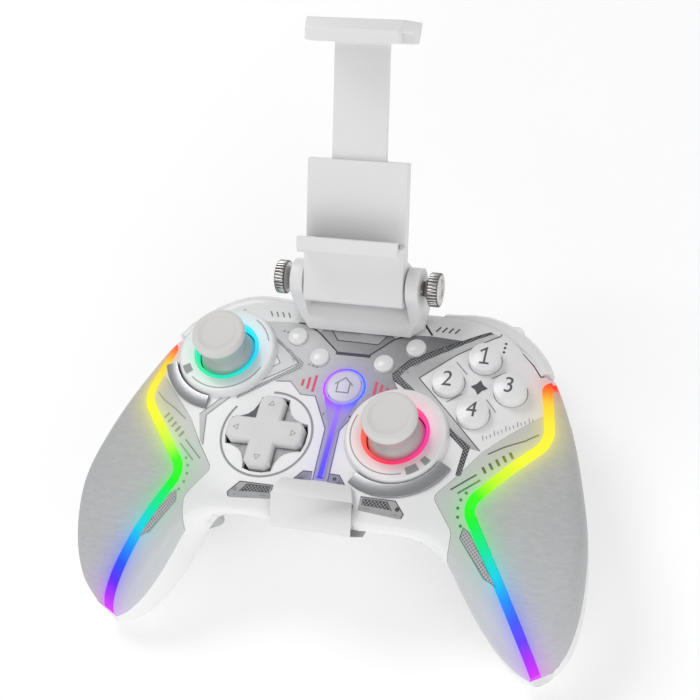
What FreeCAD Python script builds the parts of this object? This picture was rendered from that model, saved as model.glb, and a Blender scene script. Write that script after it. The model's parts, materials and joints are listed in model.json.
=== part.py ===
import FreeCAD, Part
import math
import os
from collections import namedtuple
from FreeCAD import Vector

# A wireless gamepad with a clip that holds a phone above it.
# Millimetres. While modelling, X is to the right, Y away from the player and Z up.
# Z = 0 is the flat face.
# The finished pieces are moved so that the flats under the grips are at Z = 0 (see export).

# where the pieces go when they are written
rest_level = -53.0
depth_centre = 21.8

# sides of the polygons that stand for the circles of small, hidden and repeated parts
few_sides = 10
more_sides = 20
many_sides = 24

# housing
wall = 2.2
panel_gap = 0.15
boss_radius = 2.8
screw_well_wall = 1.0
screw_radius = 1.1
screw_head_radius = 2.1
screw_head_height = 1.6
screw_length = 9.0
screw_bite = 5.0
screw_gap = 0.3
screw_places = ((38.5, -20.0), (-38.5, -20.0), (25.0, 39.0), (-25.0, 39.0))

# light strip on each grip
strip_width = 3.4
strip_start = (69.3, 25.6)
strip_bend = (74.6, 2.6)
strip_corner = (51.2, -26.0)
strip_end = (78.9, -68.7)
strip_outside = (92.0, 23.4)
strip_overrun = 0.35
strip_start_radius = 3.0
strip_bend_radius = 12.0
strip_corner_radius = 7.0

# inner edge of the side panels
panel_tip = (39.9, -24.8)
panel_top = (53.3, -6.2)
panel_knee = (47.0, -15.6)
panel_kink = (48.1, -35.4)
panel_foot = (47.5, -50.0)
panel_tip_radius = 3.0
panel_kink_radius = 4.0
panel_slope = 1.063

# thumb sticks
stick_left_place = (-46.6, 21.2)
stick_right_place = (23.0, -4.6)
pivot_depth = 3.0
ball_radius = 10.6
ball_skin = 0.9
ball_opening = 10.7
skirt_angle = 82.0
ring_width = 1.2
ring_top = 3.0
ring_height = 3.6
bezel_radius = 17.6
bezel_height = 2.7
bezel_slope = 0.9
bezel_skirt = 4.0
trim_width = 4.6
trim_height = 1.7
trim_left_angle = -128.0
trim_left_sweep = 66.0
trim_right_angle = -74.0
trim_right_sweep = 100.0
cap_radius = 9.65
cap_top = 15.2
cap_thickness = 3.6
cap_dish_radius = 6.7
cap_dish_depth = 0.7
cap_dish_edge = 0.7
cap_rim = 0.9
cap_under_bevel = 0.6
neck_height = 0.8
shaft_cover = 1.5
neck_radius = 7.2
neck_top_radius = 8.0
shaft_radius = 1.6
running_gap = 0.05
body_gap = 0.3
gimbal_half = 6.2
gimbal_wall = 0.8
yoke_half = 4.8
yoke_thickness = 1.2
yoke_height = 2.4
rocker_half = 3.0
rocker_height = 2.2
yoke_pin_radius = 0.8
rocker_pin_radius = 0.6

# boards
board_level = -13.0
board_thickness = 1.6
board_half = 59.0
board_front_half = 44.0
board_front = -26.0
board_waist = 8.0
board_rear = 42.0
pad_height = 2.2
pad_radius = 2.4
pad_clearance = 0.1

# direction pad
cross_place = (-23.5, -9.3)
cross_reach = 13.9
cross_arm = 9.4
cross_top = 3.0
cross_dish = 0.5
cross_dish_radius = 4.4
cross_bevel = 0.6
cross_corner = 1.8
cross_hole_radius = 15.0
cross_gap = 0.7
petal_radius = 7.4
petal_offset = 11.3
cross_depth = 3.2
cross_ball_radius = 2.6
cross_ball_gap = 0.12
cross_ball_level = -5.4
cross_collar_radius = 4.0

# round buttons
action_place = (47.5, 18.3)
action_pitch = 10.9
action_radius = 5.7
action_top = 3.6
small_radius = 3.4
small_top = 1.9
small_places = ((22.2, 31.0), (12.0, 23.3))
home_place = (0.0, 12.3)
home_radius = 6.2
home_top = 1.7
button_gap = 0.25
button_flange = 0.9
button_dome = 0.7
button_travel = 1.0

# light guide round the home button, with its bar towards the player
guide_radius = 7.7
guide_bar_width = 2.8
guide_bar_end = -23.6
guide_neck = -5.5
guide_mouth = 52.0
guide_depth = 1.0
guide_proud = 0.15
deck_level = 0.3

# shoulder buttons and triggers
bumper_start = 0.93
bumper_end = 3.2
bumper_steps = 9
bumper_proud = 2.9
bumper_inset = 3.2
bumper_height = 7.6
bumper_top = -2.9
bumper_fall = 0.75
bumper_chamfer = 2.2
bumper_room = 1.5
bumper_taper = 0.25
trigger_place = 42.5
trigger_width = 21.0
trigger_pivot_y = 39.2
trigger_pivot_z = -17.5
trigger_pin_radius = 1.5
trigger_boss_radius = 3.2
trigger_rear = 19.0
trigger_toe = (21.5, -23.0)
trigger_thickness = 3.6
trigger_well_gap = 0.8
trigger_boss_gap = 0.4
trigger_well_depth = 12.2
well_wall = 1.0

# macro buttons under the grips
macro_place = (53.0, -22.0)
macro_length = 19.0
macro_width = 9.0
macro_height = 8.0
macro_proud = 1.9
macro_turn = -28.0
macro_corner = 2.4
macro_edge = 1.0
macro_gap = 0.35

# inside
battery_size = (50.0, 34.0, 6.0)
battery_centre = (0.0, 14.0)
battery_bevel = 1.2
motor_radius = 7.0
motor_length = 9.0
motor_place = (72.0, -36.0)
motor_level = -35.0
motor_shaft_radius = 1.0
motor_cup_depth = 3.0
weight_radius = 5.5
weight_thickness = 4.5
weight_hub_radius = 2.2
weight_gap = 0.5
motor_shaft_end = 1.0
port_size = (9.2, 6.4, 3.4)
port_wall = 0.5
port_recess = 0.6
port_corner = 1.4
port_hole_corner = 1.6
port_hole_depth = 3.0
tongue_half_width = 3.3
tongue_half_thickness = 0.35
tongue_recess = 0.8

# phone clip
hinge_y = 46.9
hinge_z = 15.0
hinge_radius = 2.4
lean = 46.0
arm_half_width = 14.5
arm_thickness = 3.6
arm_gap = 0.5
arm_stations = 12
hook_reach = 12.5
hook_thickness = 3.2
hook_slope = 4.5
hook_crease = 5.6
hook_rear_half = 12.3
hook_nose = 1.5
hook_nose_low = 0.5
hook_nose_high = 0.8
arm_corner = 2.0
arm_bend = 3.0
window_half_width = 8.0
window_below = 5.0
window_above = 8.0
window_bevel = 2.0
fork_half_width = 23.6
fork_thickness = 4.6
fork_front = 35.0
fork_base_height = 5.4
fork_radius = 7.2
fork_nose = 1.5
fork_nose_height = 4.2
fork_crease = 1.0
ear_inset = 2.0
ear_bend = 2.0
block_half_width = 18.2
block_front = 7.6
block_back = 6.6
block_low = 6.6
block_edge = 1.6
block_gap = 0.4
block_bevel = 3.0
block_shoulder = 1.0
lip_bevel = 1.0
channel_spare = 0.5
relief_gap = 0.2
phone_offset = 5.6
phone_level = 16.0
phone_width = 70.9
phone_thickness = 7.7
phone_play = 0.3
lip_height = 2.2
lip_thickness = 2.2
pad_thickness = 1.0
shelf_thickness = 2.4
back_plate_thickness = 4.2
back_plate_length = 44.0
seat_relief = 0.6
slide_thickness = 1.8
slide_half_width = 10.0
slide_overlap = 22.0
slide_way = 12.0
slide_skin = 0.6
slide_gap = 0.1
jaw_half_width = 16.4
jaw_top_half_width = 20.5
jaw_thickness = 4.2
jaw_root = 3.0
jaw_back = 2.0
jaw_crown = 1.2
jaw_crown_place = 4.0
jaw_nose = 1.6
jaw_flare_front = 1.0
jaw_flare_back = 3.0
slide_head = 1.0
jaw_pad_inset = 2.0
knob_radius = 5.0
knob_length = 4.6
knob_teeth = 14
knob_notch = 0.5
knob_neck_radius = 2.6
knob_stand_off = 1.6
knob_shank_radius = 1.5
knob_shank_length = 6.0
shank_spare = 0.5
pin_recess = 0.5

# sections of the right half of the housing, from the middle to the end of the grip:
# the seam's front and rear points, the levels of the top over the front, the middle and the rear,
# the part of the width that the top's shoulders take, the levels of the underside, the same for its flanks,
# and how upright the underside leaves the seam at the front and at the rear
Section = namedtuple("Section", "front rear deck shoulder keel flank bulge")
sections = (
    Section((0.0, -38.0, -4.0), (0.0, 49.0, -8.0), (0.0, 0.3, 0.0), 0.16, (-26.0, -33.0), 0.46, (0.5, 0.75)),
    Section((28.0, -38.0, -4.2), (30.0, 49.0, -8.5), (0.0, 0.3, 0.0), 0.16, (-26.0, -33.0), 0.46, (0.5, 0.75)),
    Section((38.0, -38.5, -5.5), (49.0, 46.5, -9.5), (-0.8, 0.3, -0.6), 0.18, (-29.5, -35.0), 0.42, (0.55, 0.75)),
    Section((44.0, -41.0, -9.0), (67.5, 34.0, -11.0), (-2.5, 0.0, -3.3), 0.22, (-37.0, -40.0), 0.34, (0.6, 0.7)),
    Section((48.5, -45.0, -14.0), (79.0, 14.0, -12.0), (-5.5, -1.0, -5.6), 0.27, (-45.0, -43.0), 0.30, (0.65, 0.65)),
    Section((53.0, -51.0, -20.0), (87.0, -9.0, -14.0), (-10.5, -4.0, -5.4), 0.30, (-50.0, -46.0), 0.30, (0.65, 0.62)),
    Section((58.5, -57.5, -27.0), (91.7, -29.0, -17.0), (-17.0, -10.0, -8.0), 0.34, (-53.5, -49.0), 0.32, (0.65, 0.6)),
    Section((65.0, -63.5, -34.0), (92.0, -46.5, -25.0), (-25.0, -18.5, -16.0), 0.38, (-54.6, -50.5), 0.33, (0.65, 0.6)),
    Section((71.5, -67.5, -39.5), (89.0, -59.0, -33.0), (-33.0, -28.5, -26.0), 0.40, (-53.0, -49.5), 0.36, (0.65, 0.6)),
    Section((76.5, -69.0, -42.5), (84.0, -65.5, -40.0), (-39.6, -37.5, -36.4), 0.40, (-49.0, -47.0), 0.40, (0.65, 0.6)),
)
top_bulge = (0.75, 0.75)
outer_steps = 8
inner_steps = 6
steps_between = 2
far = 200.0


# small helpers

def mirrored(shape):
    return shape.mirror(Vector(0, 0, 0), Vector(1, 0, 0))


def moved(shape, x, y, z=0.0):
    copy = shape.copy()
    copy.translate(Vector(x, y, z))
    return copy


def box(low, high):
    size = Vector(*high) - Vector(*low)
    return Part.makeBox(size.x, size.y, size.z, Vector(*low))


def centred_box(half_x, half_y, low, high):
    return box((-half_x, -half_y, low), (half_x, half_y, high))


def rod(radius, low, high, x=0.0, y=0.0):
    return Part.makeCylinder(radius, high - low, Vector(x, y, low))


def cross_rod(radius, left, right, y, z):
    return Part.makeCylinder(radius, right - left, Vector(left, y, z), Vector(1, 0, 0))


def flat_face(corners):
    return Part.Face(Part.makePolygon(corners + corners[:1]))


def closed_solid(faces):
    shell = Part.makeShell(faces)
    shell.sewShape()
    solid = Part.Solid(shell)
    if solid.Volume < 0:
        solid.reverse()
    return solid


def polygon_ring(radius, level, sides):
    turns = [2 * math.pi * (i + 0.5) / sides for i in range(sides)]
    return [Vector(radius * math.cos(turn), radius * math.sin(turn), level) for turn in turns]


def turned(profile, sides):
    # profile is a list of (radius, height) corners, closed and turned round Z in flat steps;
    # only its first and last corners may lie on the axis
    faces = []
    count = len(profile)
    for i, (radius, level) in enumerate(profile):
        next_radius, next_level = profile[(i + 1) % count]
        if radius == 0 and next_radius == 0:
            continue
        near = polygon_ring(radius, level, sides)
        away = polygon_ring(next_radius, next_level, sides)
        if level == next_level and radius == 0:
            faces.append(flat_face(away))
        elif level == next_level and next_radius == 0:
            faces.append(flat_face(near))
        else:
            for a in range(sides):
                b = (a + 1) % sides
                corners = [near[a], near[b], away[b], away[a]]
                if radius == 0:
                    corners = [near[a], away[b], away[a]]
                elif next_radius == 0:
                    corners = [near[a], near[b], away[a]]
                faces.append(flat_face(corners))
    return closed_solid(faces).removeSplitter()


def post(radius, low, high, x, y, sides):
    # an upright prism whose corners lie on the radius
    ring = [corner + Vector(x, y, 0) for corner in polygon_ring(radius, low, sides)]
    return flat_face(ring).extrude(Vector(0, 0, high - low))


def hollow_post(radius, low, high, x, y, sides):
    # an upright prism whose flats lie on the radius, for a hole
    return post(radius / math.cos(math.pi / sides), low, high, x, y, sides)


def plate_x(outline, left, right):
    # outline is a list of (y, z) corners, extruded along X
    points = [Vector(left, y, z) for y, z in outline]
    return Part.Face(Part.makePolygon(points + points[:1])).extrude(Vector(right - left, 0, 0))


def lying_post(radius, left, right):
    # the same prism, lying along X
    prism_up = post(radius, left, right, 0, 0, few_sides)
    prism_up.rotate(Vector(0, 0, 0), Vector(0, 1, 0), 90)
    return prism_up


def edges_along(shape, axis):
    found = []
    for edge in shape.Edges:
        if len(edge.Vertexes) < 2:
            continue
        along = edge.Vertexes[1].Point - edge.Vertexes[0].Point
        if along.Length > 0 and abs(abs(along.normalize().dot(axis)) - 1) < 1e-6:
            found.append(edge)
    return found


def rounded_wire(corners, level=0.0):
    # corners is a list of (x, y, radius); each corner is replaced by a tangent arc of its radius
    count = len(corners)
    starts = []
    ends = []
    middles = []
    for i, (x, y, radius) in enumerate(corners):
        here = Vector(x, y, level)
        before = (Vector(corners[i - 1][0], corners[i - 1][1], level) - here).normalize()
        after_x, after_y, _ = corners[(i + 1) % count]
        after = (Vector(after_x, after_y, level) - here).normalize()
        half_angle = before.getAngle(after) / 2
        if radius <= 0:
            starts.append(here)
            ends.append(here)
            middles.append(None)
            continue
        back = radius / math.tan(half_angle)
        bisector = (before + after).normalize()
        starts.append(here + before * back)
        ends.append(here + after * back)
        middles.append(here + bisector * (radius / math.sin(half_angle) - radius))
    edges = []
    for i in range(count):
        if middles[i] is not None:
            edges.append(Part.Arc(starts[i], middles[i], ends[i]).toShape())
        following = starts[(i + 1) % count]
        if (following - ends[i]).Length > 1e-6:
            edges.append(Part.makeLine(ends[i], following))
    return Part.Wire(edges)


def prism(corners, low=-far, high=far):
    return Part.Face(rounded_wire(corners, low)).extrude(Vector(0, 0, high - low))


# housing surfaces

def blended(values, share):
    # a value on the smooth curve through four evenly spaced ones, between the second and the third
    before, low, high, after = values
    linear = (high - before) / 2
    square = before - 2.5 * low + 2 * high - after / 2
    cube = (after - before) / 2 + 1.5 * (low - high)
    return low + share * (linear + share * (square + share * cube))


def blended_section(index, share):
    # a section between two of the hand-set ones; to the left of the middle they are mirrored
    chosen = [sections[abs(i)] for i in (index - 1, index, index + 1, min(index + 2, len(sections) - 1))]
    fields = []
    for name in Section._fields:
        values = [getattr(section, name) for section in chosen]
        if isinstance(values[0], float):
            fields.append(blended(values, share))
            continue
        numbers = [list(value) for value in values]
        if index == 0 and name in ("front", "rear"):
            numbers[0][0] = -numbers[0][0]
        fields.append(tuple(blended(group, share) for group in zip(*numbers)))
    return Section(*fields)


def all_sections():
    result = []
    for index in range(len(sections) - 1):
        flat = index == 0
        for step in range(1 if flat else steps_between):
            share = 0.0 if flat else step / steps_between
            result.append(blended_section(index, share))
    result.append(sections[-1])
    return result


def arc_poles(section, side, inset):
    front = Vector(*section.front)
    rear = Vector(*section.rear)
    across = (rear - front).normalize()
    front += across * inset
    rear -= across * inset
    chord = rear - front
    if side > 0:
        share = section.shoulder
        bulge = top_bulge
        levels = [level - inset for level in section.deck]
    else:
        share = section.flank
        bulge = section.bulge
        levels = [section.keel[0] + inset, (section.keel[0] + section.keel[1]) / 2 + inset, section.keel[1] + inset]
    near = front + chord * (share / 2)
    middle = front + chord * 0.5
    away = rear - chord * (share / 2)
    return [
        front,
        Vector(front.x, front.y, front.z + bulge[0] * (levels[0] - front.z)),
        Vector(near.x, near.y, levels[0]),
        Vector(middle.x, middle.y, levels[1]),
        Vector(away.x, away.y, levels[2]),
        Vector(rear.x, rear.y, rear.z + bulge[1] * (levels[2] - rear.z)),
        rear,
    ]


def section_points(section, side, mirror, inset, steps):
    # points on the section's arc, in equal steps of the curve through its poles
    poles = arc_poles(section, side, inset)
    if mirror:
        poles = [Vector(-pole.x, pole.y, pole.z) for pole in poles]
    curve = Part.BSplineCurve(poles, None, None, False, 3, None, False)
    first = curve.FirstParameter
    span = curve.LastParameter - first
    return [curve.value(first + span * i / steps) for i in range(steps + 1)]


def outer_ring(section, side, mirror):
    return section_points(section, side, mirror, 0.0, outer_steps)


def inner_ring(section, side, mirror, inset):
    # the same section, smaller by the wall and carried past the seam
    points = section_points(section, side, mirror, inset, inner_steps)
    past = Vector(0, 0, -side * 2 * wall)
    return points + [points[-1] + past, points[0] + past]


def skinned(rings):
    # a solid through rings of equally many points: each cell between two rings is two flat triangles,
    # split the same way on the left as on the right
    faces = [flat_face(rings[0]), flat_face(rings[-1])]
    count = len(rings[0])
    for near, away in zip(rings, rings[1:]):
        on_left = near[0].x + away[0].x < 0
        for i in range(count):
            j = (i + 1) % count
            if on_left:
                faces.append(flat_face([near[i], near[j], away[i]]))
                faces.append(flat_face([near[j], away[j], away[i]]))
            else:
                faces.append(flat_face([near[i], near[j], away[j]]))
                faces.append(flat_face([near[i], away[j], away[i]]))
    return closed_solid(faces)


def half_solid(side):
    outer = all_sections()
    rings = [outer_ring(section, side, True) for section in reversed(outer[1:])]
    rings += [outer_ring(section, side, False) for section in outer]
    return skinned(rings)


def half_hollow(side, inset):
    inner = sections[:-1]
    rings = [inner_ring(section, side, True, inset) for section in reversed(inner[1:])]
    rings += [inner_ring(section, side, False, inset) for section in inner]
    return skinned(rings)


def surface_level(solid, x, y, from_above=True):
    line = Part.makeLine(Vector(x, y, -far), Vector(x, y, far))
    hit = solid.common(line)
    levels = [vertex.Point.z for vertex in hit.Vertexes]
    return max(levels) if from_above else min(levels)


# plan outlines of the right side

def strip_line(offset):
    # the light strip's middle line moved sideways, positive towards the grip
    points = [strip_outside, strip_start, strip_bend, strip_corner]
    run_x = strip_end[0] - strip_corner[0]
    run_y = strip_end[1] - strip_corner[1]
    points.append((strip_end[0] + strip_overrun * run_x, strip_end[1] + strip_overrun * run_y))
    bend = strip_bend_radius + offset
    radii = [0.0, strip_start_radius - offset, bend, strip_corner_radius - offset, 0.0]
    moved_points = []
    for i, point in enumerate(points):
        here = Vector(point[0], point[1], 0)
        runs = []
        if i > 0:
            runs.append((here - Vector(points[i - 1][0], points[i - 1][1], 0)).normalize())
        if i < len(points) - 1:
            runs.append((Vector(points[i + 1][0], points[i + 1][1], 0) - here).normalize())
        normals = [Vector(-run.y, run.x, 0) for run in runs]
        mean = normals[0]
        if len(normals) > 1:
            mean = (normals[0] + normals[1]).normalize()
        reach = offset / mean.dot(normals[0])
        moved_points.append((here.x + mean.x * reach, here.y + mean.y * reach, radii[i]))
    return moved_points


def cover_outline(offset):
    return strip_line(offset) + [(far, -far, 0.0), (far, strip_outside[1], 0.0)]


def panel_outline(grow):
    # the side panel with everything outside it; grow moves its inner edge outwards
    run = far - panel_top[0]
    return [
        (far, panel_top[1] + run * panel_slope + grow, 0.0),
        (panel_top[0], panel_top[1] + grow, 0.0),
        (panel_knee[0] - grow, panel_knee[1] + grow, 0.0),
        (panel_tip[0] - grow, panel_tip[1], panel_tip_radius),
        (panel_kink[0] - grow, panel_kink[1], panel_kink_radius),
        (panel_foot[0] - grow, panel_foot[1], 0.0),
        (panel_foot[0] - grow, -far, 0.0),
        (far, -far, 0.0),
    ]


# housing pieces

def action_places():
    x, y = action_place
    return [(x, y + action_pitch), (x - action_pitch, y), (x + action_pitch, y), (x, y - action_pitch)]


def small_all():
    return [(side * x, y) for x, y in small_places for side in (-1, 1)]


def cross_hole():
    hole = hollow_post(cross_hole_radius, -far, far, 0, 0, many_sides)
    inner = cross_arm / 2 + cross_gap
    for turn in range(4):
        petal = post(petal_radius, -far, far, petal_offset, petal_offset, more_sides)
        corner = box((inner, inner, -far), (far, far, far))
        petal = petal.common(corner)
        petal.rotate(Vector(0, 0, 0), Vector(0, 0, 1), 90 * turn)
        hole = hole.cut(petal)
    return moved(hole, *cross_place)


def guide_outline(grow):
    # a ring round the home button that narrows into a bar
    bar = guide_bar_width / 2 + grow
    radius = guide_radius + grow
    ring = post(radius, -guide_depth, guide_depth, 0, 0, many_sides)
    y = home_place[1]
    mouth = math.radians(guide_mouth)
    start_x = radius * math.sin(mouth)
    start_y = -radius * math.cos(mouth)
    end_y = guide_bar_end - grow - y
    half = [(start_x, start_y), (bar, guide_neck - y), (bar, end_y)]
    outline = half + [(-across, along) for across, along in reversed(half)]
    points = [Vector(across, along, -guide_depth) for across, along in outline]
    funnel = Part.Face(Part.makePolygon(points + points[:1])).extrude(Vector(0, 0, 2 * guide_depth))
    return moved(ring.fuse(funnel).removeSplitter(), home_place[0], y)


def light_guide():
    guide = guide_outline(0.0).cut(button_hole(home_radius, home_place))
    return guide.common(centred_box(far, far, -guide_depth, deck_level + guide_proud))


def button_hole(radius, place):
    return post(radius + button_gap, -far, far, *place, more_sides)


def top_holes():
    holes = [cross_hole(), button_hole(home_radius, home_place)]
    holes += [button_hole(action_radius, place) for place in action_places()]
    holes += [button_hole(small_radius, place) for place in small_all()]
    for x, y in (stick_left_place, stick_right_place):
        holes.append(hollow_post(ball_opening + ring_width + panel_gap, -far, far, x, y, many_sides))
    return holes


def boss_foot():
    return board_level - board_thickness - 2.0


def make_face_shell(top, hollow, panel, guide_cut, holes):
    shell = top.cut(hollow)
    shell = shell.cut(panel).cut(mirrored(panel))
    for hole in holes:
        shell = shell.cut(hole)
    # a seat for the light guide
    shell = shell.cut(guide_cut)
    shell = shell.cut(Part.makeCompound(top_holes()))
    for x, y in screw_places:
        level = surface_level(top, x, y) - wall * 0.6
        boss = post(boss_radius, boss_foot(), level, x, y, few_sides)
        bore = hollow_post(screw_radius, boss_foot() - 1.0, boss_foot() + screw_bite + 1.0, x, y, few_sides)
        shell = shell.fuse(boss).cut(bore)
    return shell


def make_back_shell(belly, hollow, wells, holes):
    shell = belly.cut(hollow)
    well_radius = screw_head_radius + screw_gap
    for x, y in screw_places:
        low = surface_level(belly, x, y, from_above=False)
        high = boss_foot() - body_gap
        boss = post(well_radius + screw_well_wall, low + 1.0, high, x, y, few_sides)
        shell = shell.fuse(boss)
        shell = shell.cut(hollow_post(screw_radius + screw_gap, low - 5.0, high + 1.0, x, y, few_sides))
        shell = shell.cut(hollow_post(well_radius, low - 5.0, screw_seat(), x, y, few_sides))
    for well_outer, well_inner in wells:
        shell = shell.fuse(well_outer.common(belly)).cut(well_inner)
    for hole in holes:
        shell = shell.cut(hole)
    return shell


def screw_seat():
    return boss_foot() + screw_bite - screw_length


def case_screws():
    screws = []
    seat = screw_seat()
    for x, y in screw_places:
        head = post(screw_head_radius, seat - screw_head_height, seat, x, y, few_sides)
        shank = post(screw_radius - running_gap, seat, seat + screw_length, x, y, few_sides)
        screws.append(head.fuse(shank))
    return Part.makeCompound(screws)


# sticks

def stick_bezel(top, place):
    # the collar round the stick, its underside following the shell
    outer = bezel_radius
    inner = ball_opening + ring_width
    body = turned([
        (inner, -bezel_skirt),
        (outer + bezel_slope, -bezel_skirt),
        (outer + bezel_slope, deck_level),
        (outer, bezel_height),
        (inner, bezel_height),
    ], many_sides)
    return moved(body, *place).cut(top)


def bezel_trim(top, place, centre_angle, sweep):
    # the bevelled crescent that lies against the collar, in flat steps
    inner = bezel_radius + bezel_slope + panel_gap
    outer = inner + trim_width
    profile = [(inner, -bezel_skirt), (outer, -bezel_skirt), (outer, deck_level + 0.3), (inner, trim_height)]
    steps = math.ceil(sweep * many_sides / 360)
    rings = []
    for i in range(steps + 1):
        turn = math.radians(centre_angle + sweep * (i / steps - 0.5))
        ring = [Vector(r * math.cos(turn), r * math.sin(turn), level) for r, level in profile]
        rings.append(ring)
    return moved(skinned(rings), *place).cut(top)


def light_ring(place):
    inner = ball_opening
    outer = inner + ring_width - panel_gap / 2
    ring = turned([
        (inner, ring_top - ring_height),
        (outer, ring_top - ring_height),
        (outer, ring_top),
        (inner, ring_top),
    ], many_sides)
    return moved(ring, *place)


def dome_profile(radius, first, last, count):
    # corners on an arc about the stick's pivot, between two angles from the vertical
    angles = [math.radians(first + (last - first) * i / count) for i in range(count + 1)]
    return [(radius * math.sin(angle), radius * math.cos(angle) - pivot_depth) for angle in angles]


def stick_cap(place):
    # a domed skirt that closes the opening, the neck, and the disc for the thumb
    low = cap_top - cap_thickness
    neck_angle = math.degrees(math.asin(neck_radius / ball_radius))
    skirt = dome_profile(ball_radius, neck_angle, skirt_angle, 3)
    inside = dome_profile(ball_radius - ball_skin, 12.0, skirt_angle, 3)
    bore_radius = shaft_radius + running_gap / 5
    body = turned([
        *inside,
        *reversed(skirt),
        (neck_top_radius, low - neck_height),
        (cap_radius, low + cap_under_bevel),
        (cap_radius, cap_top - cap_rim),
        (cap_radius - cap_rim, cap_top),
        (cap_dish_radius, cap_top),
        (cap_dish_radius - cap_dish_edge, cap_top - cap_dish_depth),
        (0.0, cap_top - cap_dish_depth),
        (0.0, inside[0][1]),
    ], many_sides)
    return moved(body, *place).cut(rod(bore_radius, -far, shaft_top(), *place))


def shaft_top():
    return cap_top - cap_thickness - shaft_cover


def stick_shaft(place):
    shaft = rod(shaft_radius, -pivot_depth - 2.0, shaft_top() - 0.1)
    return moved(shaft, *place)


def along_y(radius, reach, level):
    return Part.makeCylinder(radius, 2 * reach, Vector(0, -reach, level), Vector(0, 1, 0))


def small_pin(radius, reach, axis, level):
    # a thin level pin with flats
    pin = post(radius, -reach, reach, 0, 0, few_sides)
    pin.rotate(Vector(0, 0, 0), Vector(0, 0, 1).cross(axis), 90)
    return moved(pin, 0, 0, level)


def stick_rocker(place):
    # the block that the shaft slides in, with its pins along Y
    pivot = -pivot_depth
    half = rocker_height / 2
    body = centred_box(rocker_half, rocker_half, pivot - half, pivot + half)
    body = body.fuse(small_pin(rocker_pin_radius, yoke_half - 0.3, Vector(0, 1, 0), pivot))
    bore = rod(shaft_radius + running_gap, pivot - far, pivot + far)
    return moved(body.cut(bore), *place)


def stick_yoke(place):
    # the frame round the rocker, with its pins along X
    pivot = -pivot_depth
    half = yoke_height / 2
    inner = yoke_half - yoke_thickness
    ring = centred_box(yoke_half, yoke_half, pivot - half, pivot + half)
    ring = ring.fuse(small_pin(yoke_pin_radius, gimbal_half - 0.2, Vector(1, 0, 0), pivot))
    ring = ring.cut(centred_box(inner, inner, -far, far))
    return moved(ring.cut(along_y(rocker_pin_radius + running_gap, far, pivot)), *place)


def gimbal_box(place):
    pivot = -pivot_depth
    high = pivot + 2.2
    body = centred_box(gimbal_half, gimbal_half, board_level, high)
    inside = gimbal_half - gimbal_wall
    body = body.cut(centred_box(inside, inside, board_level + 0.8, far))
    bore = cross_rod(yoke_pin_radius + running_gap, -far, far, 0, pivot)
    return moved(body.cut(bore), *place)


# buttons

def stop_level(hollow, radius, place):
    # where a flange of this radius meets the shell from below
    levels = []
    for turn in range(8):
        angle = math.radians(45.0 * turn)
        x = place[0] + radius * math.cos(angle)
        y = place[1] + radius * math.sin(angle)
        levels.append(surface_level(hollow, x, y))
    return min(levels)


def round_button(hollow, radius, top_level, place):
    edge = min(0.6, radius / 5)
    wide = radius + button_flange
    stop = stop_level(hollow, wide, place) - body_gap
    body = turned([
        (0.0, button_base()),
        (wide, button_base()),
        (wide, stop),
        (radius, stop),
        (radius, top_level - button_dome - edge),
        (radius - edge, top_level - button_dome),
        (0.0, top_level),
    ], more_sides)
    return moved(body, *place)


def button_base():
    return board_level + pad_height + button_travel + pad_clearance


def rubber_pad(place):
    # a stub of rubber on the board under the button
    return post(pad_radius, board_level, board_level + pad_height, *place, few_sides)


def barrel(radius):
    # a ball in flat steps, on which the cross rocks
    slant = radius * math.sqrt(0.5)
    profile = [(0.0, -radius), (slant, -slant), (radius, 0.0), (slant, slant), (0.0, radius)]
    return moved(turned(profile, few_sides), 0, 0, cross_ball_level)


def cross_cap():
    # the cross with its collar, which sits on the ball
    half = cross_arm / 2
    low = -cross_depth
    arm_x = centred_box(cross_reach, half, low, cross_top)
    arm_y = centred_box(half, cross_reach, low, cross_top)
    cap = arm_x.fuse(arm_y).removeSplitter()
    ends = []
    for edge in edges_along(cap, Vector(0, 0, 1)):
        centre = edge.CenterOfMass
        if math.hypot(centre.x, centre.y) > cross_reach:
            ends.append(edge)
    cap = cap.makeChamfer(cross_corner, ends)
    top_edges = [edge for edge in cap.Edges if edge.BoundBox.ZMin > cross_top - 0.01]
    cap = cap.makeChamfer(cross_bevel, top_edges)
    dish = turned([(0.0, cross_top - cross_dish), (cross_dish_radius, cross_top), (0.0, cross_top)], more_sides)
    collar = post(cross_collar_radius, cross_ball_level + 0.5, low, 0, 0, few_sides)
    return moved(cap.cut(dish).fuse(collar).cut(barrel(cross_ball_radius + cross_ball_gap)), *cross_place)


def cross_pivot():
    return moved(barrel(cross_ball_radius), *cross_place)


def cross_post():
    # the socket on the board that carries the ball
    stem = post(cross_collar_radius, board_level, cross_ball_level - 0.5, 0, 0, few_sides)
    return moved(stem.cut(barrel(cross_ball_radius + cross_ball_gap)), *cross_place)


# shoulder parts

def seam_point(t):
    # a point on the rear seam, t counted in sections
    index = min(int(t), len(sections) - 2)
    return Vector(*blended_section(index, t - index).rear)


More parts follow.
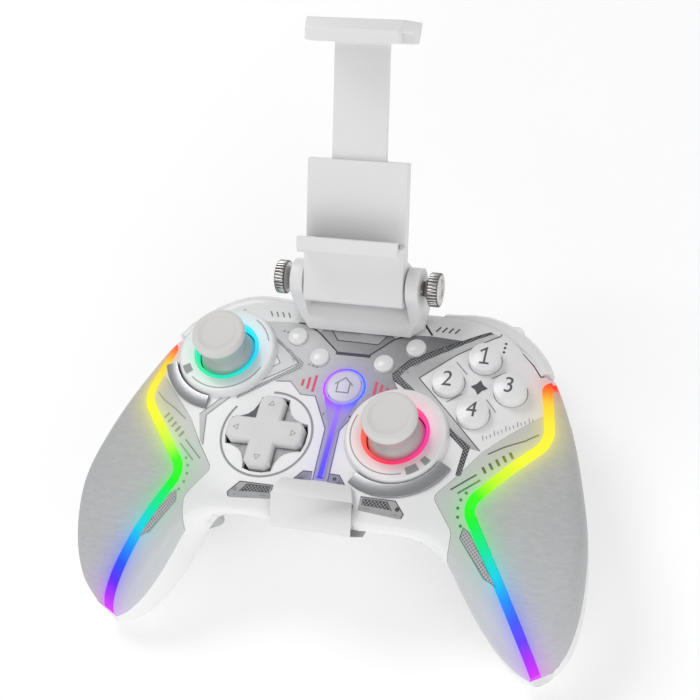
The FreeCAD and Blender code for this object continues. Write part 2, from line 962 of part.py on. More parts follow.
def bumper_band(start, end, inset, proud, rise, sink, chamfer):
    # a band along the rear seam between two places on it, inset from it and standing proud of it;
    # it runs out into the seam at both ends
    rings = []
    for i in range(bumper_steps + 1):
        t = start + (end - start) * i / bumper_steps
        here = seam_point(t)
        ahead = seam_point(t + 0.05)
        behind = seam_point(t - 0.05)
        run = Vector(ahead.x - behind.x, ahead.y - behind.y, 0).normalize()
        out = Vector(-run.y, run.x, 0)
        base = Vector(here.x, here.y, 0)
        near = base - out * inset
        swell = bumper_taper + (1 - bumper_taper) * math.sin(math.pi * i / bumper_steps)
        away = base + out * (proud * swell)
        fall = (t - bumper_start) * bumper_fall
        high = bumper_top - fall + rise
        low = bumper_top - fall - bumper_height - sink
        rings.append([
            Vector(near.x, near.y, low),
            Vector(near.x, near.y, high),
            Vector(away.x, away.y, high) - out * chamfer,
            Vector(away.x, away.y, high - chamfer),
            Vector(away.x, away.y, low + chamfer / 2),
            Vector(away.x, away.y, low) - out * (chamfer / 2),
        ])
    return skinned(rings)


def bumper():
    return bumper_band(bumper_start, bumper_end, bumper_inset, bumper_proud, 0.0, 0.0, bumper_chamfer)


def bumper_cut():
    # the room that the shoulder button needs in the shells, with its travel
    inset = bumper_inset + bumper_room
    return bumper_band(bumper_start - 0.03, bumper_end + 0.05, inset, 10.0, body_gap, body_gap, 0.1)


def trigger():
    left = trigger_place - trigger_width / 2
    right = trigger_place + trigger_width / 2
    toe_y, toe_z = trigger_toe
    high = trigger_boss_radius - 0.3
    outline = [
        (0.0, high),
        (trigger_rear - 7.0, high),
        (trigger_rear - 2.5, high - 4.5),
        (trigger_rear, high - 10.9),
        (toe_y, toe_z),
        (toe_y - trigger_thickness, toe_z - 0.6),
        (trigger_rear - 3.2, -13.0),
        (trigger_rear - 4.6, -8.6),
        (trigger_rear - 9.0, -6.4),
        (0.0, -high),
    ]
    blade = plate_x(outline, left, right)
    ridge = [edge for edge in edges_along(blade, Vector(1, 0, 0)) if edge.CenterOfMass.y > trigger_rear - 7.5]
    blade = blade.makeFillet(1.4, ridge)
    boss = lying_post(trigger_boss_radius, left, right)
    pin_bore = cross_rod(trigger_pin_radius + running_gap, left - 1, right + 1, 0, 0)
    return moved(blade.fuse(boss).cut(pin_bore), 0, trigger_pivot_y, trigger_pivot_z)


def trigger_well():
    # the room for the trigger, and the walls round it that carry its pin
    left = trigger_place - trigger_width / 2 - trigger_well_gap
    right = trigger_place + trigger_width / 2 + trigger_well_gap
    front = trigger_pivot_y - trigger_boss_radius - trigger_boss_gap
    low = trigger_pivot_z - trigger_well_depth
    high = trigger_pivot_z + trigger_boss_radius + trigger_well_gap
    inner = box((left, front, low), (right, far, high))
    corner = (left - well_wall, front - well_wall, low - well_wall)
    outer = box(corner, (right + well_wall, far, high + well_wall))
    return outer, inner


def trigger_pin(radius, past):
    half = trigger_width / 2 + trigger_well_gap + well_wall + past
    return cross_rod(radius, trigger_place - half, trigger_place + half, trigger_pivot_y, trigger_pivot_z)


def macro_level(belly):
    return surface_level(belly, macro_place[0], macro_place[1], from_above=False)


def macro_button(belly):
    x, y = macro_place
    low = macro_level(belly) - macro_proud
    high = macro_level(belly) + macro_height
    body = centred_box(macro_width / 2, macro_length / 2, low, high)
    body = body.makeFillet(macro_corner, edges_along(body, Vector(0, 0, 1)))
    low_edges = [edge for edge in body.Edges if edge.BoundBox.ZMax < low + 0.01]
    body = body.makeChamfer(macro_edge, low_edges)
    body.rotate(Vector(0, 0, 0), Vector(0, 0, 1), macro_turn)
    return moved(body, x, y)


def macro_hole():
    hole = centred_box(macro_width / 2 + macro_gap, macro_length / 2 + macro_gap, -far, board_level - 12.0)
    hole = hole.makeFillet(macro_corner + macro_gap, edges_along(hole, Vector(0, 0, 1)))
    hole.rotate(Vector(0, 0, 0), Vector(0, 0, 1), macro_turn)
    return moved(hole, *macro_place)


# boards and power

def main_board():
    low = board_level - board_thickness
    well_front = trigger_pivot_y - trigger_boss_radius - trigger_boss_gap - well_wall - body_gap
    well_side = trigger_place - trigger_width / 2 - trigger_well_gap - well_wall - body_gap
    half = [
        (board_front_half, board_front, 0.0),
        (board_half, board_waist, 0.0),
        (board_half, well_front, 0.0),
        (well_side, well_front, 0.0),
        (well_side, board_rear, 0.0),
    ]
    corners = half + [(-x, y, radius) for x, y, radius in reversed(half)]
    board = prism(corners, low, board_level)
    for x, y in screw_places:
        board = board.cut(hollow_post(boss_radius + body_gap, low - 1, board_level + 1, x, y, few_sides))
    return board


def battery(hollow):
    # it lies on the back shell, just clear of it at its front corners
    size_x, size_y, size_z = battery_size
    front = battery_centre[1] - size_y / 2
    low = surface_level(hollow, size_x / 2, front, from_above=False) + body_gap
    body = centred_box(size_x / 2, size_y / 2, low, low + size_z)
    body = body.makeChamfer(battery_bevel, edges_along(body, Vector(1, 0, 0)))
    return moved(body, *battery_centre)


def port_mouth():
    return sections[0].rear[1] - wall - port_recess


def port():
    size_x, size_y, size_z = port_size
    low = board_level
    mouth = port_mouth()
    inner_end = mouth - size_y + port_wall
    middle = low + size_z / 2
    body = box((-size_x / 2, mouth - size_y, low), (size_x / 2, mouth, low + size_z))
    body = body.makeFillet(port_corner, edges_along(body, Vector(0, 1, 0)))
    half = size_x / 2 - port_wall
    inside = box((-half, inner_end, low + port_wall), (half, far, low + size_z - port_wall))
    tongue = box(
        (-tongue_half_width, inner_end, middle - tongue_half_thickness),
        (tongue_half_width, mouth - tongue_recess, middle + tongue_half_thickness),
    )
    return body.cut(inside).fuse(tongue)


def port_hole():
    size_x, _, size_z = port_size
    half = size_x / 2 + body_gap
    low = board_level - body_gap
    high = board_level + size_z + body_gap
    hole = box((-half, port_mouth() - port_hole_depth, low), (half, far, high))
    return hole.makeFillet(port_hole_corner, edges_along(hole, Vector(0, 1, 0)))


def motor():
    x, y = motor_place
    top = motor_level + motor_length / 2
    can = post(motor_radius, motor_level - motor_length / 2, top, x, y, more_sides)
    shaft_end = top + weight_gap + weight_thickness + motor_shaft_end
    shaft = rod(motor_shaft_radius, top, shaft_end, x, y)
    return can.fuse(shaft)


def motor_cradle():
    # the cup in the back shell that the motor stands in
    x, y = motor_place
    low = motor_level - motor_length / 2
    outer = post(motor_radius + well_wall, -far, low + motor_cup_depth, x, y, more_sides)
    inner = post(motor_radius + running_gap, low, far, x, y, more_sides)
    return outer, inner


def motor_weight():
    x, y = motor_place
    low = motor_level + motor_length / 2 + weight_gap
    high = low + weight_thickness
    disc = post(weight_radius, low, high, x, y, more_sides)
    half = centred_box(weight_radius + 1, weight_radius, low - 1, high + 1)
    half = moved(half, x, y + weight_radius)
    hub = post(weight_hub_radius, low, high, x, y, few_sides)
    return disc.cut(half).fuse(hub).cut(rod(motor_shaft_radius + running_gap, low - 1, far, x, y))


# phone clip: the arm round the gamepad is modelled in place

def arm_line(belly, front, rear):
    # places along the middle of the underside, closer together towards the seams, just clear of it
    middle = (front + rear) / 2
    reach = (rear - front) / 2
    line = []
    for i in range(1, arm_stations):
        y = middle - reach * math.cos(math.pi * i / arm_stations)
        line.append((y, surface_level(belly, 0, y, from_above=False) - arm_gap))
    return line


def beside(line, distance):
    # a line's inner places moved square to it, downwards
    result = []
    for before, here, after in zip(line, line[1:], line[2:]):
        run_y = after[0] - before[0]
        run_z = after[1] - before[1]
        size = math.hypot(run_y, run_z)
        result.append((here[0] + distance * run_z / size, here[1] - distance * run_y / size))
    return result


def clip_arm(belly):
    # a strap that follows the underside, with a hook over the front edge
    half = arm_half_width
    rear = sections[0].rear[1] + arm_gap
    front = sections[0].front[1] - arm_gap
    flap_end = front + hook_reach
    top = arm_gap
    inside = arm_line(belly, front, rear)
    outside = beside(inside, arm_thickness)
    outline = [
        (flap_end, top),
        (flap_end, top + hook_thickness * hook_nose_low),
        (flap_end - hook_nose, top + hook_thickness * hook_nose_high),
        (front + hook_crease, top + hook_thickness),
        (front - arm_thickness, top - hook_slope),
        *outside,
        (rear + arm_thickness, outside[-1][1] + arm_bend),
        (rear + arm_thickness, top + fork_base_height),
        (rear, top + fork_base_height),
        (rear, inside[-1][1] + arm_bend),
        *reversed(inside),
        (front, inside[0][1] + arm_corner),
        (front, top - arm_bend),
        (front + arm_corner, top),
    ]
    arm = plate_x(outline, -half, half)
    low = board_level - window_below
    high = board_level + window_above
    window = box((-window_half_width, 0, low), (window_half_width, far, high))
    window = window.makeChamfer(window_bevel, edges_along(window, Vector(0, 1, 0)))
    arm = arm.cut(window)
    corner = prism([
        (hook_rear_half, flap_end, 0.0),
        (half + 1, flap_end + 1, 0.0),
        (half + 1, front + hook_crease, 0.0),
        (half, front + hook_crease, 0.0),
    ], 0.0, far)
    return arm.cut(corner).cut(mirrored(corner))


def clip_fork():
    # the base behind the buttons with two ears that carry the hinge
    half = fork_half_width
    low = arm_gap
    rear = sections[0].rear[1] + arm_gap + arm_thickness
    base_outline = [
        (fork_front, low),
        (fork_front + fork_nose, low + fork_nose_height),
        (hinge_y - fork_radius + fork_crease, low + fork_base_height),
        (rear, low + fork_base_height),
        (rear, low),
    ]
    ear_outline = [
        (fork_front + ear_inset, low),
        (hinge_y - fork_radius, hinge_z - ear_bend),
        (hinge_y - fork_radius, hinge_z),
        (hinge_y + fork_radius, hinge_z),
        (rear, low),
    ]
    result = plate_x(base_outline, -half, half)
    for left in (-half, half - fork_thickness):
        ear = plate_x(ear_outline, left, left + fork_thickness)
        ear = ear.fuse(cross_rod(fork_radius, left, left + fork_thickness, hinge_y, hinge_z))
        result = result.fuse(ear)
    return result


def block_reach():
    # how far the block's lower front edge lies from the hinge
    return math.hypot(block_front - block_edge, block_low - block_edge) + block_edge


def clip_base(top, belly):
    # the arm and the fork, with room for the block to turn between the ears
    half = fork_half_width - fork_thickness
    base = clip_arm(belly).fuse(clip_fork())
    base = base.cut(cross_rod(block_reach() + block_gap, -half, half, hinge_y, hinge_z))
    base = base.cut(cross_rod(hinge_radius + running_gap, -far, far, hinge_y, hinge_z))
    return base.cut(top).cut(belly).removeSplitter()


# the phone holder is modelled upright at the origin, its front towards -Y, and then leaned back on the hinge

def leaned(shape):
    copy = shape.copy()
    copy.rotate(Vector(0, 0, 0), Vector(1, 0, 0), -lean)
    copy.translate(Vector(0, hinge_y, hinge_z))
    return copy


def lip_front():
    return -(phone_offset + phone_thickness + 2 * phone_play + lip_thickness)


def lower_jaw_level():
    return phone_level - phone_play


def upper_jaw_level():
    return lower_jaw_level() + phone_width + 2 * phone_play


def slide_rear():
    # the front of the skin behind the slide's channel
    return -(phone_offset - back_plate_thickness) - slide_skin


def clip_block():
    half = block_half_width
    back = phone_offset - back_plate_thickness
    shelf = lower_jaw_level() - pad_thickness
    front = lip_front()
    body_outline = [
        (-block_front, -block_low),
        (-block_front, shelf - shelf_thickness),
        (front + lip_bevel, shelf - shelf_thickness),
        (front, shelf - shelf_thickness + lip_bevel),
        (front, shelf + pad_thickness + lip_height),
        (front + lip_thickness, shelf + pad_thickness + lip_height),
        (front + lip_thickness, shelf),
        (-phone_offset, shelf),
        (-phone_offset, back_plate_length),
        (-back, back_plate_length),
        (-back, block_low + block_bevel),
        (block_back, block_low - block_shoulder),
        (block_back, -block_low + block_bevel),
        (block_back - block_bevel, -block_low),
    ]
    block = plate_x(body_outline, -half, half)
    level = -block_low + block_bevel + 0.5
    low_edges = [edge for edge in edges_along(block, Vector(1, 0, 0)) if edge.CenterOfMass.z < level]
    block = block.makeFillet(block_edge, low_edges)
    wide = slide_half_width + slide_gap * 2
    channel_front = slide_rear() - slide_thickness - 2 * slide_gap
    channel_low = back_plate_length - slide_overlap - slide_way - channel_spare
    channel = box((-wide, channel_front, channel_low), (wide, slide_rear(), far))
    bore = cross_rod(hinge_radius, -far, far, 0, 0)
    # the back plate's face starts just above the pad
    relief_top = shelf + pad_thickness + relief_gap
    relief = box((-far, -phone_offset - 1, shelf), (far, seat_relief - phone_offset, relief_top))
    return leaned(block.cut(channel).cut(bore).cut(relief))


def clip_pin():
    half = fork_half_width - pin_recess
    pin = cross_rod(hinge_radius, -half, half, 0, 0)
    for side in (-1, 1):
        end = side * half
        inner = end - side * (knob_shank_length + shank_spare)
        pin = pin.cut(cross_rod(knob_shank_radius + running_gap, min(end, inner), max(end, inner), 0, 0))
    return moved(pin, 0, hinge_y, hinge_z)


def clip_slide():
    top = upper_jaw_level()
    rear = slide_rear() - slide_gap
    low = back_plate_length - slide_overlap
    tongue = box((-slide_half_width, rear - slide_thickness, low), (slide_half_width, rear, top + slide_head))
    front = lip_front()
    jaw_outline = [
        (front, top - lip_height),
        (front + lip_thickness, top - lip_height),
        (front + lip_thickness, top + pad_thickness),
        (-phone_offset, top + pad_thickness),
        (-phone_offset, top - jaw_root),
        (rear, top - jaw_root),
        (rear + jaw_back, top + jaw_thickness),
        (front + jaw_crown_place, top + jaw_thickness + jaw_crown),
        (front, top + jaw_nose),
    ]
    jaw = plate_x(jaw_outline, -jaw_top_half_width, jaw_top_half_width)
    for side in (-1, 1):
        # each side of the jaw widens from its lip to its back
        corners = [
            Vector(side * jaw_half_width, front - jaw_flare_front, -far),
            Vector(side * jaw_top_half_width, rear + jaw_flare_back, -far),
            Vector(side * far, rear + jaw_flare_back, -far),
            Vector(side * far, front - jaw_flare_front, -far),
        ]
        jaw = jaw.cut(flat_face(corners).extrude(Vector(0, 0, 2 * far)))
    return leaned(jaw.fuse(tongue).removeSplitter())


def jaw_pads():
    front = lip_front() + lip_thickness + body_gap
    rear = -phone_offset - body_gap
    low_half = block_half_width - jaw_pad_inset
    high_half = jaw_half_width - jaw_pad_inset
    shelf = lower_jaw_level() - pad_thickness
    top = upper_jaw_level()
    low_pad = box((-low_half, front, shelf), (low_half, rear, shelf + pad_thickness))
    high_pad = box((-high_half, front, top), (high_half, rear, top + pad_thickness))
    return leaned(low_pad), leaned(high_pad)


def thumb_screw(side):
    inner = fork_half_width + body_gap
    x_head = inner + knob_stand_off
    rim = []
    for i in range(2 * knob_teeth):
        radius = knob_radius - (i % 2) * knob_notch
        turn = math.pi * i / knob_teeth
        rim.append((radius * math.cos(turn), radius * math.sin(turn)))
    head = plate_x(rim, x_head, x_head + knob_length)
    neck = lying_post(knob_neck_radius, inner, x_head)
    shank_end = fork_half_width - pin_recess - knob_shank_length
    shank = cross_rod(knob_shank_radius, shank_end, inner, 0, 0)
    screw = head.fuse(neck).fuse(shank)
    if side < 0:
        screw = mirrored(screw)
    screw.translate(Vector(0, hinge_y, hinge_z))
    return screw


# writing

def export(name, shape):
    placed = shape.copy()
    placed.translate(Vector(0, -depth_centre, -rest_level))
    placed.exportStep("parts/" + name + ".step")
    box_now = placed.BoundBox
    print(name, len(placed.Solids), placed.isValid(), round(placed.Volume), [round(v, 1) for v in (
        box_now.XMin, box_now.YMin, box_now.ZMin, box_now.XMax, box_now.YMax, box_now.ZMax)])


def main():
    os.makedirs("parts", exist_ok=True)
    above_rest = centred_box(far, far, rest_level, far)
    top = half_solid(1)
    belly = half_solid(-1).common(above_rest)
    top_hollow = half_hollow(1, wall)
    belly_hollow = half_hollow(-1, wall)
    bumper_cuts = [bumper_cut(), mirrored(bumper_cut())]

    # the top's skin is shared out in plan between the face, the side panels, the light strips and the grips
    skin = top.cut(top_hollow)
    panel = prism(panel_outline(0.0))
    strip_inner = prism(cover_outline(-strip_width / 2))
    strip_outer = prism(cover_outline(strip_width / 2))
    right = skin.common(box((0, -far, -far), (far, far, far))).cut(bumper_cuts[0])
    panel_piece = right.common(prism(panel_outline(-panel_gap))).cut(strip_inner)
    cover_piece = right.common(prism(cover_outline(strip_width / 2 + panel_gap)))
    strip_piece = right.common(strip_inner).cut(strip_outer)
    guide_seat = guide_outline(panel_gap)
    beside_face = panel.fuse(strip_inner)
    export("face_shell", make_face_shell(top, top_hollow, beside_face, guide_seat, bumper_cuts))
    for name, piece in (("side_panel", panel_piece), ("grip_cover", cover_piece), ("light_strip", strip_piece)):
        export(name + "_right", piece)
        export(name + "_left", mirrored(piece))
    export("light_guide", light_guide())

    wells = []
    for outer, inner in (trigger_well(), motor_cradle()):
        wells += [(outer, inner), (mirrored(outer), mirrored(inner))]
    pin_hole = trigger_pin(trigger_pin_radius + 0.01, 1.0)
    holes = [port_hole(), pin_hole, mirrored(pin_hole), macro_hole(), mirrored(macro_hole())] + bumper_cuts
    export("back_shell", make_back_shell(belly, belly_hollow, wells, holes))
    export("case_screws", case_screws())

    trims = [
        bezel_trim(top, stick_left_place, trim_left_angle, trim_left_sweep),
        bezel_trim(top, stick_right_place, trim_right_angle, trim_right_sweep),
    ]
    export("bezel_trims", Part.makeCompound(trims))
    for side, place in (("left", stick_left_place), ("right", stick_right_place)):
        export("stick_bezel_" + side, stick_bezel(top, place))
        export("light_ring_" + side, light_ring(place))
        export("stick_cap_" + side, stick_cap(place))
        export("stick_shaft_" + side, stick_shaft(place))
        export("stick_rocker_" + side, stick_rocker(place))
        export("stick_yoke_" + side, stick_yoke(place))
    export("gimbal_boxes", Part.makeCompound([gimbal_box(stick_left_place), gimbal_box(stick_right_place)]))

    for number, place in enumerate(action_places(), 1):
        export("action_button_%d" % number, round_button(top_hollow, action_radius, action_top, place))
    for number, place in enumerate(small_all(), 1):
        export("menu_button_%d" % number, round_button(top_hollow, small_radius, small_top, place))
    export("home_button", round_button(top_hollow, home_radius, home_top, home_place))
    pads = [rubber_pad(place) for place in action_places() + small_all() + [home_place]]
    export("button_pads", Part.makeCompound(pads))
    export("cross_cap", cross_cap())
    export("cross_pivot", cross_pivot())
    export("cross_post", cross_post())

    for name, piece in (("bumper", bumper()), ("trigger", trigger()), ("macro_button", macro_button(belly)),
                        ("rumble_weight", motor_weight())):
        export(name + "_right", piece)
        export(name + "_left", mirrored(piece))
    pin = trigger_pin(trigger_pin_radius, 0.0)
    export("trigger_pins", Part.makeCompound([pin, mirrored(pin)]))
    export("rumble_motors", Part.makeCompound([motor(), mirrored(motor())]))
    export("main_board", main_board())
    export("battery", battery(belly_hollow))
    export("charge_port", port())

    export("clip_base", clip_base(top, belly))
    export("clip_block", clip_block())
    export("clip_pin", clip_pin())
    export("clip_slide", clip_slide())
    low_pad, high_pad = jaw_pads()
    export("jaw_pad_low", low_pad)
    export("jaw_pad_high", high_pad)
    export("thumb_screw_right", thumb_screw(1))
    export("thumb_screw_left", thumb_screw(-1))


if __name__ == "__main__":
    main()
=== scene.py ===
import bpy
import bmesh
import json
import math
import numpy as np
from contextlib import contextmanager
from mathutils import Matrix, Vector
from mathutils.geometry import delaunay_2d_cdt

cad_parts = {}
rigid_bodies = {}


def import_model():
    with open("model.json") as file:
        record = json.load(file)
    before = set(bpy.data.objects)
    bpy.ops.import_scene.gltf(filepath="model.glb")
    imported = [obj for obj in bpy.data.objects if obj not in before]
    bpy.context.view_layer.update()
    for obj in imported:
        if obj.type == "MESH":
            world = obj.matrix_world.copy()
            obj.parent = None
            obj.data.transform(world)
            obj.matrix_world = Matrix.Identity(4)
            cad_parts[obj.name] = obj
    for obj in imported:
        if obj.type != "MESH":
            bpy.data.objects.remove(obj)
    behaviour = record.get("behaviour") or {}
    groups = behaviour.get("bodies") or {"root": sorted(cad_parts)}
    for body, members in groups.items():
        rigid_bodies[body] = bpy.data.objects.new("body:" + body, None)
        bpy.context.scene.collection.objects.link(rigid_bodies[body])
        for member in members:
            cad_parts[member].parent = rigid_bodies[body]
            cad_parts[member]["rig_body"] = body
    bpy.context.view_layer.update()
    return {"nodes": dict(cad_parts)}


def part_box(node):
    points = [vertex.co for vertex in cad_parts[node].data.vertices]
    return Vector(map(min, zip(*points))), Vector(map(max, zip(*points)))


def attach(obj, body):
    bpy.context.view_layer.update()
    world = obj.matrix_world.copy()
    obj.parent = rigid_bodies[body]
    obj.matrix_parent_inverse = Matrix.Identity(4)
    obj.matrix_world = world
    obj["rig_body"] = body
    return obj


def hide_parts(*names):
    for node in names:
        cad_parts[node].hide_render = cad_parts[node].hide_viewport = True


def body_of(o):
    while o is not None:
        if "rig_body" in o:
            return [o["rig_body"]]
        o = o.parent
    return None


# A gamepad with a phone clip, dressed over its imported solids. Shapes are worked out in millimetres in the face frame:
# X right, Y away from the player, Z = 0 at the flat face. toRow moves them into the part's own frame, in metres.
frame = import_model()

place = {
    "cross": (-23.5, -9.3), "crossTop": 3.0, "action": (47.5, 18.3), "actionPitch": 10.9, "home": (0.0, 12.3),
    "menu": ((22.2, 31.0), (12.0, 23.3)), "stick": {"left": (-46.6, 21.2), "right": (23.0, -4.6)},
    "ringTop": 3.0, "pivotDepth": 3.0, "hinge": (46.9, 15.0),
}


def bodyOf(node):
    return body_of(frame["nodes"][node])[0]


def middleOf(node):
    low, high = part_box(node)
    return (np.array(low) + np.array(high)) * 500.0


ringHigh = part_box("light_ring_left")[1][2] * 1000.0
faceOrigin = np.array([0.0, middleOf("cross_cap")[1] - place["cross"][1], ringHigh - place["ringTop"]])


def toRow(points):
    return (np.asarray(points, dtype=float) + faceOrigin) / 1000.0


# colours and nodes

def linear(hexText, strength=1.0):
    channels = [int(hexText[i:i + 2], 16) / 255.0 for i in (0, 2, 4)]
    return tuple(strength * (c / 12.92 if c <= 0.04045 else ((c + 0.055) / 1.055) ** 2.4) for c in channels) + (1.0,)


def fill(tree, node, values):
    # other nodes' outputs are linked to the node's sockets, plain values go into its properties or sockets
    for key, value in values.items():
        if hasattr(value, "links"):
            tree.links.new(value, node.inputs[key])
        elif isinstance(key, str) and hasattr(node, key):
            setattr(node, key, value)
        else:
            node.inputs[key].default_value = value


def addNode(tree, kind, values):
    # a new shader node, given back as its outputs
    node = tree.nodes.new("ShaderNode" + kind)
    fill(tree, node, values)
    return node.outputs


def noise(tree, size, detail, stretch=None, roughness=0.5):
    # noise in the piece's own space, with a grain of this size in mm
    where = addNode(tree, "TexCoord", {})["Object"]
    if stretch:
        where = addNode(tree, "Mapping", {"Scale": stretch, "Vector": where})[0]
    values = {"Scale": 1000.0 / size, "Detail": detail, "Roughness": roughness, "Vector": where}
    return addNode(tree, "TexNoise", values)[0]


def mixed(tree, share, first, second):
    return addNode(tree, "Mix", {"data_type": "RGBA", 0: share, 6: first, 7: second})[2]


def ranged(tree, source, low, high, start=0.0, end=1.0):
    values = {"Value": source, "From Min": start, "From Max": end, "To Min": low, "To Max": high}
    return addNode(tree, "MapRange", values)[0]


def relief(tree, source, strength, distance):
    return addNode(tree, "Bump", {"Height": source, "Strength": strength, "Distance": distance})[0]


def product(tree, source, factor):
    return addNode(tree, "Math", {"operation": "MULTIPLY", 0: source, 1: factor})[0]


def attribute(tree, name):
    return addNode(tree, "Attribute", {"attribute_name": name})


def newMaterial(name):
    material = bpy.data.materials.new(name)
    material.use_nodes = True
    tree = material.node_tree
    return material, tree, tree.nodes["Principled BSDF"]


def mouldedPlastic(name, color, roughness, grain, bump, ior=1.46, spread=0.03, coat=0.0):
    # moulded ABS: a soft highlight, a faint unevenness and a fine grain from the mould; grain is its size in mm
    material, tree, shader = newMaterial(name)
    cloud = noise(tree, 30.0, 3.0)
    fill(tree, shader, {
        "Base Color": mixed(tree, cloud, linear(color), linear(color, 1.0 - spread)),
        "Roughness": ranged(tree, cloud, roughness - 0.04, roughness + 0.06),
        "Normal": relief(tree, noise(tree, grain, 2.0), bump, grain * 0.0002),
        "IOR": ior,
    })
    if coat:
        fill(tree, shader, {"Coat Weight": coat, "Coat Roughness": 0.12})
    return material


def litSkin(name, color, roughness, size, stretch, bump):
    # textured or smooth ABS beside a lit strip: the attribute "glow" holds the light that falls on it
    material, tree, shader = newMaterial(name)
    grain = noise(tree, size, 3.0, stretch, 0.6)
    glow = attribute(tree, "glow")
    tone = mixed(tree, grain, linear(color, 0.94 - 0.3 * bump), linear(color))
    fill(tree, shader, {
        "Base Color": mixed(tree, glow["Alpha"], tone, glow["Color"]),
        "Emission Color": glow["Color"],
        "Emission Strength": product(tree, glow["Alpha"], 0.3),
        "Normal": relief(tree, grain, bump, size * 0.0003),
        "Roughness": roughness, "IOR": 1.46,
    })
    return material


def litClear(name, strength, core):
    # diffusing polycarbonate lit from inside: its colour comes from the attribute "light"
    material, tree, shader = newMaterial(name)
    light = attribute(tree, "light")["Color"]
    fill(tree, shader, {
        "Emission Color": light, "Emission Strength": strength,
        "Base Color": mixed(tree, core, light, (0.01, 0.01, 0.01, 1.0)),
        "Specular IOR Level": 0.15, "Roughness": 0.22, "IOR": 1.58,
    })
    return material


def paintedMetal(name, color, roughness, grain):
    # silver lacquer over plastic: a fine metallic flake under a satin coat
    material, tree, shader = newMaterial(name)
    flake = noise(tree, grain, 1.0)
    fill(tree, shader, {
        "Base Color": linear(color), "Metallic": 1.0,
        "Roughness": ranged(tree, flake, roughness - 0.06, roughness + 0.08),
        "Normal": relief(tree, flake, 0.12, grain * 0.0002),
    })
    return material


def printedInk(name, dark, pale, roughness):
    # pad-printed ink: the attribute "shade" runs from the dark tone to the pale one (painted sheen on the silver
    # bands), "glow" is the light on it
    material, tree, shader = newMaterial(name)
    shade, glow = attribute(tree, "shade")["Fac"], attribute(tree, "glow")
    uneven = addNode(tree, "Math", {"operation": "MULTIPLY_ADD", 0: noise(tree, 1.6, 4.0), 1: 0.12, 2: shade})[0]
    tone = mixed(tree, uneven, linear(dark), linear(pale))
    fill(tree, shader, {
        "Base Color": mixed(tree, product(tree, glow["Alpha"], 0.6), tone, glow["Color"]),
        "Emission Color": glow["Color"],
        "Emission Strength": product(tree, glow["Alpha"], 0.2),
        "Roughness": roughness,
    })
    return material


def meshInk(name, dot, ground, pitch):
    # printed screen: round dots of the first tone on a ground of the second, pitch is their spacing in mm
    material, tree, shader = newMaterial(name)
    where = addNode(tree, "TexCoord", {})["Object"]
    turned = addNode(tree, "Mapping", {"Rotation": (0.0, 0.0, math.radians(45.0)), "Vector": where})[0]
    cells = {"voronoi_dimensions": "2D", "Scale": 1000.0 / pitch, "Randomness": 0.0, "Vector": turned}
    edge = ranged(tree, addNode(tree, "TexVoronoi", cells)["Distance"], 0.0, 1.0, 0.28, 0.40)
    fill(tree, shader, {"Base Color": mixed(tree, edge, linear(dot), linear(ground)), "Roughness": 0.45})
    return material


def turnedSteel(name, color, roughness):
    # nickel-plated steel turned on a lathe: fine rings round the X axis, and an attribute of painted shade that darkens
    # what lies between ridges, where less light comes
    material, tree, shader = newMaterial(name)
    rings = noise(tree, 0.4, 2.0, (1.0, 0.05, 0.05))
    fill(tree, shader, {
        "Base Color": mixed(tree, attribute(tree, "grooveShade")["Fac"], linear(color), linear("4c4b4a")),
        "Roughness": ranged(tree, rings, roughness - 0.05, roughness + 0.1),
        "Metallic": 1.0,
    })
    return material


